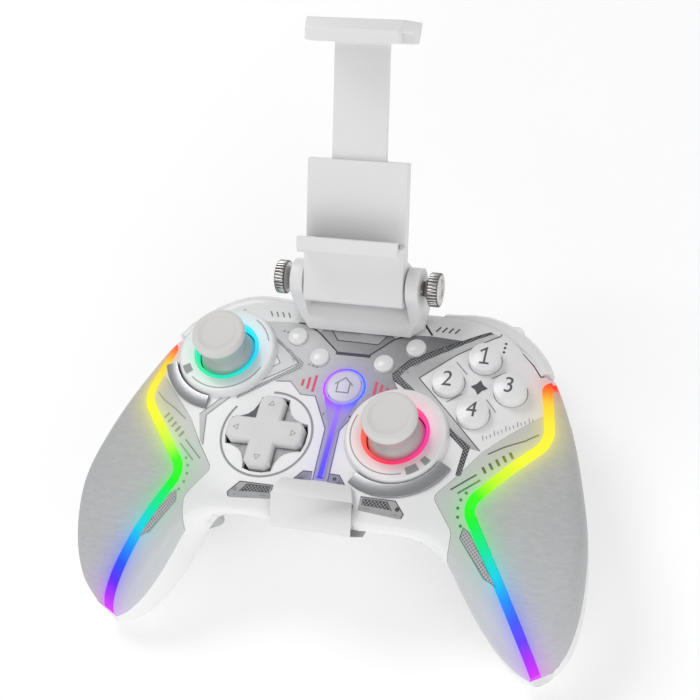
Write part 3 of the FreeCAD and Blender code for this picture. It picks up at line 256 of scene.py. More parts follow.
finish = {
    "face": litSkin("whiteSatinAbs", "f4f4f5", 0.3, 0.5, (1.0, 1.0, 1.0), 0.03),
    "panel": litSkin("paleGreyAbs", "cfd0d1", 0.36, 0.5, (1.0, 1.0, 1.0), 0.05),
    "grip": litSkin("texturedGreyAbs", "c9cacb", 0.52, 1.2, (0.3, 1.0, 1.0), 0.6),
    "back": mouldedPlastic("whiteSatinAbsBack", "f3f3f3", 0.42, 0.6, 0.12),
    "button": mouldedPlastic("whiteGlossAbs", "efeff0", 0.26, 0.5, 0.03, coat=0.3),
    "clip": mouldedPlastic("whiteSatinAbsClip", "eeeeee", 0.38, 0.7, 0.08),
    "cap": mouldedPlastic("paleSiliconeRubber", "e2e1df", 0.55, 0.35, 0.2, ior=1.41),
    # the stick's neck: its grey is partly painted shade under the cap
    "neck": mouldedPlastic("greySiliconePaintedShade", "c2c5c4", 0.3, 0.8, 0.1, ior=1.41, spread=0.2),
    "homeCap": mouldedPlastic("frostedWhiteAbs", "dcd7f0", 0.3, 0.5, 0.03),
    "cross": mouldedPlastic("whiteSatinAbsCross", "dedede", 0.36, 0.5, 0.04),
    "macro": mouldedPlastic("midGreyAbs", "b8b9ba", 0.45, 0.6, 0.12),
    "strip": litClear("litPolycarbonate", 0.9, 0.85),
    "bezel": litSkin("whiteGlossAbsCollar", "f2f2f3", 0.24, 0.5, (1.0, 1.0, 1.0), 0.02),
    "ring": litClear("litPolycarbonateRing", 0.95, 0.85),
    "silver": paintedMetal("silverLacquer", "a6a7aa", 0.34, 0.25),
    "steel": turnedSteel("nickelPlatedSteel", "c9c8c6", 0.2),
    "rubber": mouldedPlastic("greyRubber", "6d6e70", 0.72, 0.5, 0.3, ior=1.5),
    "dark": mouldedPlastic("blackAbs", "1b1b1d", 0.5, 0.6, 0.1),
    "board": mouldedPlastic("greenSolderMask", "14532d", 0.35, 0.8, 0.05),
    "foil": paintedMetal("aluminiumFoil", "b9babd", 0.4, 0.8),
    "port": paintedMetal("stampedSteel", "b5b6b8", 0.28, 0.4),
    "inkDark": printedInk("graphiteInk", "2c2d2f", "55565a", 0.45),
    "inkZone": printedInk("greyGradientInk", "58595c", "cdcdce", 0.4),
    "inkBand": printedInk("silverGreyInk", "8d8e90", "d9d9da", 0.36),
    "inkLine": printedInk("midGreyInk", "77787b", "b2b3b5", 0.45),
    "inkRed": printedInk("redInk", "d8203a", "f5405a", 0.4),
    "mesh": meshInk("screenInk", "96979a", "303134", 0.9),
    "meshPale": meshInk("screenInkPale", "7c7d80", "bcbdbf", 0.9),
}
print("materials: %d" % len(finish))


# the housing's surface, as in the part: sections from the middle to the grip's tip,
# each with its seam points front and rear, the levels of its top, its shoulder, its underside, its flank and
# how upright the underside leaves the seam at the front and at the rear
sectionRows = np.array([
    (0.0, -38.0, -4.0, 0.0, 49.0, -8.0, 0.0, 0.3, 0.0, 0.16, -26.0, -33.0, 0.46, 0.5, 0.75),
    (28.0, -38.0, -4.2, 30.0, 49.0, -8.5, 0.0, 0.3, 0.0, 0.16, -26.0, -33.0, 0.46, 0.5, 0.75),
    (38.0, -38.5, -5.5, 49.0, 46.5, -9.5, -0.8, 0.3, -0.6, 0.18, -29.5, -35.0, 0.42, 0.55, 0.75),
    (44.0, -41.0, -9.0, 67.5, 34.0, -11.0, -2.5, 0.0, -3.3, 0.22, -37.0, -40.0, 0.34, 0.6, 0.7),
    (48.5, -45.0, -14.0, 79.0, 14.0, -12.0, -5.5, -1.0, -5.6, 0.27, -45.0, -43.0, 0.30, 0.65, 0.65),
    (53.0, -51.0, -20.0, 87.0, -9.0, -14.0, -10.5, -4.0, -5.4, 0.30, -50.0, -46.0, 0.30, 0.65, 0.62),
    (58.5, -57.5, -27.0, 91.7, -29.0, -17.0, -17.0, -10.0, -8.0, 0.34, -53.5, -49.0, 0.32, 0.65, 0.6),
    (65.0, -63.5, -34.0, 92.0, -46.5, -25.0, -25.0, -18.5, -16.0, 0.38, -54.6, -50.5, 0.33, 0.65, 0.6),
    (71.5, -67.5, -39.5, 89.0, -59.0, -33.0, -33.0, -28.5, -26.0, 0.40, -53.0, -49.5, 0.36, 0.65, 0.6),
    (76.5, -69.0, -42.5, 84.0, -65.5, -40.0, -39.6, -37.5, -36.4, 0.40, -49.0, -47.0, 0.40, 0.65, 0.6),
])
lastSection = len(sectionRows) - 1


def sectionAt(u):
    # the smooth curve through four neighbouring rows, straight over the flat middle
    i = np.clip(np.floor(u).astype(int), 0, lastSection - 1)
    s = (u - i)[:, None]
    before, low, high = sectionRows[np.abs(i - 1)], sectionRows[i], sectionRows[i + 1]
    after = sectionRows[np.minimum(i + 2, lastSection)]
    cubic = low + s * ((high - before) / 2 + s * (before - 2.5 * low + 2 * high - after / 2
                                                    + s * ((after - before) / 2 + 1.5 * (low - high))))
    straight = low + s * (high - low)
    return np.where((i == 0)[:, None], straight, cubic)


def arcWeights(v):
    # the seven weights of a clamped cubic spline with four equal spans
    knots = np.array([0, 0, 0, 0, 0.25, 0.5, 0.75, 1, 1, 1, 1])
    v = np.clip(v, 0.0, 1.0 - 1e-9)
    weights = [((v >= knots[i]) & (v < knots[i + 1])).astype(float) for i in range(10)]
    for degree in (1, 2, 3):
        raised = []
        for i in range(10 - degree):
            near, away = knots[i + degree] - knots[i], knots[i + degree + 1] - knots[i + 1]
            left = (v - knots[i]) / near * weights[i] if near > 0 else 0.0
            right = (knots[i + degree + 1] - v) / away * weights[i + 1] if away > 0 else 0.0
            raised.append(left + right)
        weights = raised
    return np.stack(weights, axis=1)


def arcPoles(rows, side):
    # shares of the chord and levels of the seven poles of each section's arc
    share = rows[:, 9] if side > 0 else rows[:, 12]
    keelMiddle = (rows[:, 10] + rows[:, 11]) / 2
    near, middle, away = (rows[:, 6], rows[:, 7], rows[:, 8]) if side > 0 else (rows[:, 10], keelMiddle, rows[:, 11])
    zero, one = np.zeros_like(share), np.ones_like(share)
    shares = np.stack([zero, zero, share / 2, one * 0.5, 1 - share / 2, one, one], axis=1)
    front, rear = rows[:, 2], rows[:, 5]
    steepFront, steepRear = (0.75, 0.75) if side > 0 else (rows[:, 13], rows[:, 14])
    levels = np.stack([front, front + steepFront * (near - front), near, middle, away,
                       rear + steepRear * (away - rear), rear], axis=1)
    return shares, levels


def skinAt(u, v, side):
    # a point of the skin: the arc's share of the chord between the seam points, and its level
    rows = sectionAt(np.abs(u))
    shares, levels = arcPoles(rows, side)
    weights = arcWeights(v)
    t = (weights * shares).sum(axis=1)
    front, rear = rows[:, 0:2], rows[:, 3:5]
    plan = front + (rear - front) * t[:, None]
    plan[:, 0] *= np.where(u < 0, -1.0, 1.0)
    return np.column_stack([plan, (weights * levels).sum(axis=1)])


def chordPlace(x, y):
    # which section's chord passes over (x, y), by halving, and how far along it, in mm, the point lies
    x = np.abs(x)
    low, high = np.zeros_like(x), np.full_like(x, float(lastSection))
    for _ in range(26):
        u = (low + high) / 2
        rows = sectionAt(u)
        past = (rows[:, 3] - rows[:, 0]) * (y - rows[:, 1]) - (rows[:, 4] - rows[:, 1]) * (x - rows[:, 0])
        low, high = np.where(past < 0, u, low), np.where(past < 0, high, u)
    rows = sectionAt(u)
    chord = np.hypot(rows[:, 3] - rows[:, 0], rows[:, 4] - rows[:, 1])
    along = ((x - rows[:, 0]) * (rows[:, 3] - rows[:, 0]) + (y - rows[:, 1]) * (rows[:, 4] - rows[:, 1])) / chord
    return u, rows, chord, along


# a point's place on the skin

sampleV = np.linspace(0.0, 1.0, 201)
sampleWeights = arcWeights(sampleV)
flatPart = (0.16, 0.84)  # between these the skin is flat enough to be met straight above or below
chunk = 6000  # points handled at once


def shareAlong(shares, chord, along, halvings):
    # where on the arc its share of the chord reaches a length, by halving
    low, high = np.zeros(len(chord)), np.ones(len(chord))
    for _ in range(halvings):
        v = (low + high) / 2
        short = (arcWeights(v) * shares).sum(axis=1) * chord < along
        low, high = np.where(short, v, low), np.where(short, high, v)
    return v


def nearestOnArc(shares, levels, chord, along, height):
    # the nearest place in the section's plane: the closest sample, and then the two spans beside it
    runs = shares @ sampleWeights.T * chord[:, None]
    heights = levels @ sampleWeights.T
    best = np.argmin((runs - along[:, None]) ** 2 + (heights - height[:, None]) ** 2, axis=1)
    index = np.arange(len(along))
    bestV, bestGap = sampleV[best].copy(), np.full(len(along), 1e9)
    for first in (np.clip(best - 1, 0, 199), np.clip(best, 0, 199)):
        runA, levA = runs[index, first], heights[index, first]
        spanRun, spanLevel = runs[index, first + 1] - runA, heights[index, first + 1] - levA
        length = spanRun ** 2 + spanLevel ** 2 + 1e-12
        s = np.clip(((along - runA) * spanRun + (height - levA) * spanLevel) / length, 0, 1)
        gap = np.hypot(runA + s * spanRun - along, levA + s * spanLevel - height)
        closer = gap < bestGap
        bestV = np.where(closer, sampleV[first] + s * (sampleV[1] - sampleV[0]), bestV)
        bestGap = np.where(closer, gap, bestGap)
    return bestV, bestGap


def onSkin(points, side):
    # the skin's point for each given point, its outward normal and how far away it was:
    # straight above or below where the skin is flat, and the nearest in the section's plane where it is steep
    found, normals, gaps = [], [], []
    for start in range(0, len(points), chunk):
        part = points[start:start + chunk]
        u, rows, chord, along = chordPlace(part[:, 0], part[:, 1])
        shares, levels = arcPoles(rows, side)
        bestV, bestGap = nearestOnArc(shares, levels, chord, along, part[:, 2])
        v = shareAlong(shares, chord, along, 22)
        flat = (v > flatPart[0]) & (v < flatPart[1])
        v = np.where(flat, v, bestV)
        here = skinAt(u, v, side)
        alongU = skinAt(u + 0.02, v, side) - skinAt(np.maximum(u - 0.02, -0.02), v, side)
        alongV = skinAt(u, np.minimum(v + 0.004, 1.0), side) - skinAt(u, np.maximum(v - 0.004, 0.0), side)
        normal = np.cross(alongU, alongV) * side
        normal /= np.linalg.norm(normal, axis=1)[:, None] + 1e-12
        gaps.append(np.where(flat, np.abs(here[:, 2] - part[:, 2]), bestGap))
        for values, result in ((here, found), (normal, normals)):
            values[:, 0] *= np.where(part[:, 0] < 0, -1.0, 1.0)
            result.append(values)
    return np.concatenate(found), np.concatenate(normals), np.concatenate(gaps)


def topLevel(plan):
    _, rows, chord, along = chordPlace(plan[:, 0], plan[:, 1])
    shares, levels = arcPoles(rows, 1)
    return (arcWeights(shareAlong(shares, chord, along, 24)) * levels).sum(axis=1)


# the lit strip's line in plan, and the light that it throws

def rounded(corners, count=5, step=None):
    # a line through (x, y, radius) with rounded corners, of count points each or of one every step mm
    places = [np.array(corner[:2], dtype=float) for corner in corners]
    points = [places[0]]
    for i in range(1, len(corners) - 1):
        here, radius = places[i], corners[i][2]
        if radius <= 0:
            points.append(here)
            continue
        before, after = places[i - 1] - here, places[i + 1] - here
        before, after = before / np.linalg.norm(before), after / np.linalg.norm(after)
        half = math.acos(np.clip(before @ after, -1, 1)) / 2
        back = radius / math.tan(half)
        centre = here + (before + after) / np.linalg.norm(before + after) * (radius / math.sin(half))
        start, end = here + before * back - centre, here + after * back - centre
        a, b = math.atan2(start[1], start[0]), math.atan2(end[1], end[0])
        sweep = (b - a + math.pi) % (2 * math.pi) - math.pi
        number = max(3, int(abs(sweep) * radius / step) + 2) if step else count
        turns = a + sweep * np.linspace(0, 1, number)
        points += [centre + radius * np.array([math.cos(turn), math.sin(turn)]) for turn in turns]
    points.append(places[-1])
    return np.array(points)


def evenly(points, step):
    # the same line with points every step mm
    lengths = np.concatenate([[0.0], np.cumsum(np.linalg.norm(np.diff(points, axis=0), axis=1))])
    wanted = np.linspace(0, lengths[-1], max(2, int(round(lengths[-1] / step)) + 1))
    return np.column_stack([np.interp(wanted, lengths, points[:, k]) for k in range(2)])


stripLook = {
    "corners": [(76.0, 29.5, 0.0), (69.3, 25.6, 3.0), (74.6, 2.6, 12.0), (51.2, -26.0, 7.0), (80.0, -70.5, 0.0)],
    "colors": [(0.0, "ff2b1c"), (0.055, "ff3b20"), (0.085, "ff7a2a"), (0.13, "ffd23a"), (0.2, "ffee3c"),
               (0.36, "f6ff38"), (0.45, "c6ff2a"), (0.52, "3dff12"), (0.60, "0cf52a"), (0.67, "08e88a"),
               (0.75, "08d2e6"), (0.81, "1690ff"), (0.86, "2350ff"), (0.91, "5a22ff"), (0.96, "bb1cff"),
               (1.0, "ef1ae0")],
    "half": 1.7, "reach": 3.2, "strength": 0.55,
}
barLook = {"start": (0.0, 5.0), "end": (0.0, -23.6), "color": "7a55ff", "half": 1.4, "reach": 3.0, "strength": 0.42}
spotLooks = [
    {"at": place["stick"]["left"], "color": "25e0c0", "radius": 11.9, "reach": 2.6, "strength": 0.30},
    {"at": place["stick"]["right"], "color": "ff6a9a", "radius": 11.9, "reach": 2.6, "strength": 0.22},
    {"at": place["home"], "color": "8d5cff", "radius": 7.7, "reach": 3.0, "strength": 0.34},
]
stripPath = evenly(rounded(stripLook["corners"], step=0.6), 0.6)
barPath = evenly(np.array([barLook["start"], barLook["end"]]), 0.6)


def plainColor(hexText):
    return np.array(linear(hexText)[:3])


def colorAlong(share, stops):
    places = [s for s, _ in stops]
    shades = np.array([plainColor(h) for _, h in stops])
    return np.column_stack([np.interp(share, places, shades[:, k]) for k in range(3)])


def nearestOnPath(plan, path):
    # distance to the path and share of its length, by comparing with its points
    share, distance = np.zeros(len(plan)), np.zeros(len(plan))
    for start in range(0, len(plan), chunk):
        part = plan[start:start + chunk]
        gap = np.hypot(part[:, None, 0] - path[None, :, 0], part[:, None, 1] - path[None, :, 1])
        best = gap.argmin(axis=1)
        distance[start:start + chunk] = gap[np.arange(len(part)), best]
        share[start:start + chunk] = best / (len(path) - 1)
    return distance, share


def stripLight(points):
    # distance to the nearer strip, and the strip's colour there
    distance, share = nearestOnPath(np.column_stack([np.abs(points[:, 0]), points[:, 1]]), stripPath)
    return distance, colorAlong(share, stripLook["colors"])


def glowOn(points):
    # colour and share of coloured light on the skin: it fades with the distance from each lit piece
    distance, colors = stripLight(points)
    lights = [(stripLook, np.maximum(distance - stripLook["half"], 0), colors)]
    for spot in spotLooks:
        gap = np.abs(np.hypot(points[:, 0] - spot["at"][0], points[:, 1] - spot["at"][1]) - spot["radius"])
        lights.append((spot, gap, plainColor(spot["color"])))
    distance, _ = nearestOnPath(points[:, :2], barPath)
    lights.append((barLook, np.maximum(distance - barLook["half"], 0), plainColor(barLook["color"])))
    amounts = [look["strength"] * np.exp(-gap / look["reach"]) for look, gap, _ in lights]
    total = sum(color * amount[:, None] for (_, _, color), amount in zip(lights, amounts))
    weight = sum(amounts)
    return np.column_stack([total / np.maximum(weight, 1e-6)[:, None], np.minimum(weight, 0.9)])


# making pieces

weld = 2e-6  # points closer than this are one
softLook = {"flat": 1.0, "sharp": 32.0}  # degrees between faces that are rejoined, and at an edge that is rounded


def addObject(name, data):
    thing = bpy.data.objects.new(name, data)
    bpy.context.scene.collection.objects.link(thing)
    return thing


@contextmanager
def edited(mesh):
    # a mesh opened for editing and written back
    work = bmesh.new()
    work.from_mesh(mesh)
    yield work
    work.to_mesh(mesh)
    work.free()


def smoothFaces(mesh, smooth=True):
    mesh.polygons.foreach_set("use_smooth", [smooth] * len(mesh.polygons))


def facePoints(vertices):
    # a mesh's points in the face frame, in mm
    return np.array([v.co[:] for v in vertices]) * 1000.0 - faceOrigin


def meshPiece(name, points, faces, body, material, smooth=True, sharp=None, merge=False):
    # a piece from points in the face frame, in mm, and faces as rows of point numbers
    mesh = bpy.data.meshes.new(name)
    mesh.from_pydata(toRow(points).tolist(), [], [list(face) for face in faces])
    if merge:
        with edited(mesh) as work:
            bmesh.ops.remove_doubles(work, verts=work.verts, dist=weld)
            bmesh.ops.recalc_face_normals(work, faces=work.faces)
    smoothFaces(mesh, smooth)
    if sharp:
        mesh.set_sharp_from_angle(angle=math.radians(sharp))
    mesh.materials.append(material)
    mesh.update()
    piece = addObject(name, mesh)
    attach(piece, body)
    return piece


def gridFaces(rows, columns, closed=False):
    # quads of a grid stored row by row; closed joins its last column to its first
    i, j = np.meshgrid(np.arange(rows - 1), np.arange(columns if closed else columns - 1), indexing="ij")
    k = (j + 1) % columns
    low, high = i * columns, (i + 1) * columns
    return np.stack([low + j, low + k, high + k, high + j], axis=-1).reshape(-1, 4)


def setColors(piece, label, colors, alpha=1.0):
    # an attribute of the points: a colour for each, or one value for a grey, and its alpha
    colors = colors if colors.ndim == 2 else np.repeat(colors[:, None], 3, axis=1)
    rows = np.column_stack([colors, np.broadcast_to(alpha, len(colors))])
    layer = piece.data.attributes.new(label, "FLOAT_COLOR", "POINT")
    layer.data.foreach_set("color", rows.astype(np.float32).ravel())


def cadTriangles(node):
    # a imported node's triangles with their doubles merged, in the face frame, in mm
    work = bmesh.new()
    work.from_mesh(frame["nodes"][node].data)
    bmesh.ops.remove_doubles(work, verts=work.verts, dist=weld)
    bmesh.ops.triangulate(work, faces=work.faces)
    points = facePoints(work.verts)
    triangles = np.array([[v.index for v in face.verts] for face in work.faces])
    work.free()
    return points, triangles


def rowsOf(*columns):
    return np.stack(columns, 1)


def splitLong(points, triangles, flags, limit):
    # cuts each edge over the limit that a flagged triangle has, in all the triangles that share it
    for _ in range(8):
        edges = np.sort(np.stack([triangles, np.roll(triangles, -1, axis=1)], axis=-1), axis=-1)
        keys = edges[..., 0].astype(np.int64) * len(points) + edges[..., 1]
        unique, inverse = np.unique(keys, return_inverse=True)
        inverse = inverse.reshape(keys.shape)
        a, b = unique // len(points), unique % len(points)
        needed = np.zeros(len(unique), dtype=bool)
        needed[inverse[flags].ravel()] = True
        needed &= np.linalg.norm(points[a] - points[b], axis=1) > limit
        if not needed.any():
            break
        number = np.full(len(unique), -1)
        number[needed] = len(points) + np.arange(needed.sum())
        points = np.concatenate([points, (points[a[needed]] + points[b[needed]]) / 2])
        mids = number[inverse]
        made, kept = [], []
        for turn in range(3):
            t, m = np.roll(triangles, -turn, axis=1), np.roll(mids, -turn, axis=1)
            one = (m[:, 0] >= 0) & (m[:, 1] < 0) & (m[:, 2] < 0)
            two = (m[:, 0] >= 0) & (m[:, 1] >= 0) & (m[:, 2] < 0)
            kept += [flags[one]] * 2 + [flags[two]] * 3
            (a, b, c), middle = t[one].T, m[one, 0]
            made += [rowsOf(a, middle, c), rowsOf(middle, b, c)]
            (a, b, c), (first, second) = t[two].T, m[two, :2].T
            made += [rowsOf(first, b, second), rowsOf(a, first, second), rowsOf(a, second, c)]
        three, whole = (mids >= 0).all(axis=1), (mids < 0).all(axis=1)
        (a, b, c), (first, second, third) = triangles[three].T, mids[three].T
        made += [rowsOf(a, first, third), rowsOf(first, b, second), rowsOf(third, second, c), mids[three]]
        kept += [flags[three]] * 4
        triangles = np.concatenate(made + [triangles[whole]])
        flags = np.concatenate(kept + [flags[whole]])
    return points, triangles, flags


def splitAll(points, triangles, limit):
    return splitLong(points, triangles, np.ones(len(triangles), dtype=bool), limit)[:2]


def triangleNormals(points, triangles):
    a, b, c = (points[triangles[:, k]] for k in range(3))
    normals = np.cross(b - a, c - a)
    return normals / (np.linalg.norm(normals, axis=1)[:, None] + 1e-12)


skinLook = {"near": 1.1, "facing": 0.6, "reach": 1.4}  # how close and how parallel a triangle is to be drawn smooth


def skinPiece(name, node, side, material, glow=1.0, limit=2.4):
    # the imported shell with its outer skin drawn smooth: its skin triangles are split and moved onto the
    # housing's surface, and take that surface's own normals
    points, triangles = cadTriangles(node)
    _, normals, gaps = onSkin(points, side)
    facing = (triangleNormals(points, triangles) * normals[triangles].mean(axis=1)).sum(axis=1)
    flags = (gaps[triangles].max(axis=1) < skinLook["near"]) & (facing > skinLook["facing"])
    points, triangles, flags = splitLong(points, triangles, flags, limit)
    target, normals, gaps = onSkin(points, side)
    moving = np.zeros(len(points), dtype=bool)
    moving[triangles[flags].ravel()] = True
    moving &= gaps < skinLook["reach"]
    points = np.where(moving[:, None], target, points)
    piece = meshPiece(name, points, triangles, bodyOf(node), material)
    flat = triangleNormals(points, triangles)
    corner = np.where(flags[:, None, None], normals[triangles], flat[:, None, :])
    piece.data.normals_split_custom_set(corner.reshape(-1, 3).tolist())
    if glow:
        light = glowOn(points)
        setColors(piece, "glow", light[:, :3], light[:, 3] * glow)
    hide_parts(node)
    return piece


def softPiece(name, node, material, width, segments=3):
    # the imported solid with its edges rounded: flat faces rejoined, then a bevel on every sharp edge
    mesh = frame["nodes"][node].data.copy()
    mesh.name = name
    with edited(mesh) as work:
        bmesh.ops.remove_doubles(work, verts=work.verts, dist=weld)
        bmesh.ops.dissolve_limit(work, angle_limit=math.radians(softLook["flat"]), verts=work.verts, edges=work.edges)
    mesh.materials.clear()
    mesh.materials.append(material)
    smoothFaces(mesh)
    piece = addObject(name, mesh)
    bevel = piece.modifiers.new("edges", "BEVEL")
    bevel.width = width / 1000.0
    bevel.segments = segments
    bevel.limit_method = "ANGLE"
    bevel.angle_limit = math.radians(softLook["sharp"])
    bevel.harden_normals = True
    bevel.use_clamp_overlap = True
    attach(piece, bodyOf(node))
    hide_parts(node)
    return piece


def turnedPiece(name, node, profile, at, material, around):
    # a profile of (radius, height) turned once round the upright axis through a place in plan
    turn = np.linspace(0, 2 * math.pi, around, endpoint=False)
    radius, height = profile[:, 0][:, None], profile[:, 1][:, None]
    points = np.stack([radius * np.cos(turn) + at[0], radius * np.sin(turn) + at[1], height + 0 * turn], axis=-1)
    faces = gridFaces(len(profile), around, closed=True)
    piece = meshPiece(name, points.reshape(-1, 3), faces, bodyOf(node), material, sharp=35.0, merge=True)
    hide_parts(node)
    return piece


# printed marks that lie on the skin

class Print:
    # gathers patches of one ink that lie on a surface, and makes them one piece; height gives the surface's level
    def __init__(self, name, key, lift, height=topLevel):
        self.name, self.material, self.lift, self.height = name, finish[key], lift, height
        self.points, self.faces, self.shades, self.count = [], [], [], 0

    def add(self, plan, faces, shade):
        plan = np.asarray(plan, dtype=float)
        self.points.append(np.column_stack([plan, self.height(plan) + self.lift]))
        self.faces += [[k + self.count for k in face] for face in faces]
        self.shades.append(np.array([shade(x, y) if callable(shade) else shade for x, y in plan]))
        self.count += len(plan)

    def line(self, corners, width, step=1.5, shade=0.2, closed=False):
        # a ribbon along straight runs, mitred at the corners
        corners = [np.array(c, dtype=float) for c in corners]
        count = len(corners)
        sides = []
        for i, here in enumerate(corners):
            before = here - corners[i - 1] if closed or i > 0 else corners[1] - here
            after = corners[(i + 1) % count] - here if closed or i < count - 1 else before
            before, after = before / np.linalg.norm(before), after / np.linalg.norm(after)
            out = np.array([-(before + after)[1], (before + after)[0]])
            out /= np.linalg.norm(out)
            sides.append(out * (width / 2) / max(0.35, out @ np.array([-before[1], before[0]])))
        for i in range(count if closed else count - 1):
            k = (i + 1) % count
            share = np.linspace(0, 1, max(2, int(np.linalg.norm(corners[k] - corners[i]) / step) + 1))[:, None]
            edges = [(corners[i] + sign * sides[i]) * (1 - share) + (corners[k] + sign * sides[k]) * share
                     for sign in (-1, 1)]
            self.add(np.concatenate(edges), gridFaces(2, len(share)).tolist(), shade)

    def ring(self, at, inner, outer, start=0.0, end=360.0, shade=0.2):
        # part of a flat ring, between two angles in degrees
        closed = abs(end - start) >= 359.9
        count = max(12, int(abs(end - start) / 360.0 * (28 + outer * 5)))
        turn = np.radians(np.linspace(start, end, count, endpoint=not closed))
        radii = np.array([inner, outer])[:, None]
        plan = np.stack([radii * np.cos(turn), radii * np.sin(turn)], axis=-1).reshape(-1, 2) + np.array(at)
        self.add(plan, gridFaces(2, count, closed).tolist(), shade)

    def disc(self, at, radius):
        self.ring(at, 0.02, radius)

    def patch(self, outline, spacing=2.0, shade=0.5, holes=()):
        # a flat shape with holes: its corners and a grid of inner points are joined by the nearest triangles
        loops = [np.array(loop, dtype=float) for loop in (outline, *holes)]
        plan, edges = [], []
        for loop in loops:
            dense = []
            for here, after in zip(loop, np.roll(loop, -1, axis=0)):
                count = max(1, int(np.linalg.norm(after - here) / spacing))
                dense += [here + (after - here) * k / count for k in range(count)]
            edges += [(len(plan) + k, len(plan) + (k + 1) % len(dense)) for k in range(len(dense))]
            plan += dense
        low, high = loops[0].min(axis=0), loops[0].max(axis=0)
        xs, ys = np.meshgrid(np.arange(low[0], high[0], spacing), np.arange(low[1], high[1], spacing))
        inner = np.column_stack([xs.ravel(), ys.ravel()])
        plan += list(inner[self.covered(inner, loops, 0.5)])
        found, _, triangles, *_ = delaunay_2d_cdt([Vector(point) for point in plan], edges, [], 0, 1e-5)
        found = np.array([point[:] for point in found])
        triangles = np.array([t for t in triangles if len(t) == 3])
        keep = self.covered(found[triangles].mean(axis=1), loops, 0.0)
        self.add(found, triangles[keep].tolist(), shade)

    @staticmethod
    def covered(points, loops, margin):
        # inside the first loop, outside the others, and away from their lines by the margin
        result = np.ones(len(points), dtype=bool)
        for number, loop in enumerate(loops):
            inside = np.zeros(len(points), dtype=bool)
            for here, after in zip(loop, np.roll(loop, -1, axis=0)):
                run = after - here
                crosses = (points[:, 1] > here[1]) != (points[:, 1] > after[1])
                with np.errstate(divide="ignore", invalid="ignore"):
                    edge = here[0] + (points[:, 1] - here[1]) / run[1] * run[0]
                inside ^= crosses & (points[:, 0] < edge)
                if margin:
                    share = np.clip(((points - here) @ run) / (run @ run + 1e-12), 0, 1)[:, None]
                    result &= np.linalg.norm(points - here - share * run, axis=1) > margin
            result &= inside if number == 0 else ~inside
        return result

    def done(self, body="housing", glow=True):
        # points that no face uses are left out, and each face looks up
        used = sorted({k for face in self.faces for k in face})
        number = {k: i for i, k in enumerate(used)}
        points = np.concatenate(self.points)[used]
        faces = []
        for face in self.faces:
            face = [number[k] for k in face]
            a, b, c = points[face[:3]]
            faces.append(face if np.cross(b - a, c - a)[2] > 0 else face[::-1])
        piece = meshPiece(self.name, points, faces, body, self.material)
        setColors(piece, "shade", np.concatenate(self.shades)[used])
        light = glowOn(points) if glow else np.zeros((len(points), 4))
        setColors(piece, "glow", light[:, :3], light[:, 3])


# housing

skinPiece("faceShellSkin", "face_shell", 1, finish["face"], glow=0.5)
for side in ("right", "left"):
    skinPiece("sidePanelSkin." + side, "side_panel_" + side, 1, finish["panel"], glow=0.8, limit=1.8)
    skinPiece("gripCoverSkin." + side, "grip_cover_" + side, 1, finish["grip"], glow=0.9, limit=1.8)
skinPiece("backShellSkin", "back_shell", -1, finish["back"], glow=0.0, limit=3.0)
for side in ("right", "left"):
    strip = skinPiece("lightStripSkin." + side, "light_strip_" + side, 1, finish["strip"], glow=0.0, limit=1.5)
    setColors(strip, "light", stripLight(facePoints(strip.data.vertices))[1])
print("housing: smooth skins on the shells, panels, covers and strips")


# sticks

stickLook = {
    "rings": {"left": [(0.0, "17d9ff"), (0.25, "22ecff"), (0.45, "22e8c8"), (0.62, "25e89a"), (0.8, "20e3c0"),
                       (1.0, "17d9ff")],
              "right": [(0.0, "ff3fa6"), (0.3, "ff4d72"), (0.55, "ff6048"), (0.75, "ff3560"), (1.0, "ff3fa6")]},
    "capRadius": 9.65, "capTop": 15.2, "capThickness": 3.6, "dishRadius": 6.9, "dishDepth": 0.8, "neckRadius": 7.2,
    "neckTop": 8.0, "ballRadius": 10.6, "ballSkin": 0.9, "skirt": 79.0, "opening": 10.7, "ringWidth": 1.12,
    "bezelInner": 11.9, "bezelRadius": 17.6, "bezelTop": 2.7, "glow": 0.34, "glowReach": 1.6,
}
crescentLook = {
    "left": (-128.0, 65.0), "right": (-74.0, 99.0),  # middle and sweep in degrees
    "gap": 1.15, "width": 4.5, "high": 1.7, "low": 0.5, "foot": -4.0, "steps": 60,
}


def ringLight(piece, side):
    # the lit ring's colour at each point's angle round the stick, and the point's distance from the stick's axis
    offset = facePoints(piece.data.vertices)[:, :2] - place["stick"][side]
    turn = (np.arctan2(offset[:, 1], offset[:, 0]) / (2 * math.pi)) % 1.0
    return colorAlong(turn, stickLook["rings"][side]), np.hypot(offset[:, 0], offset[:, 1])


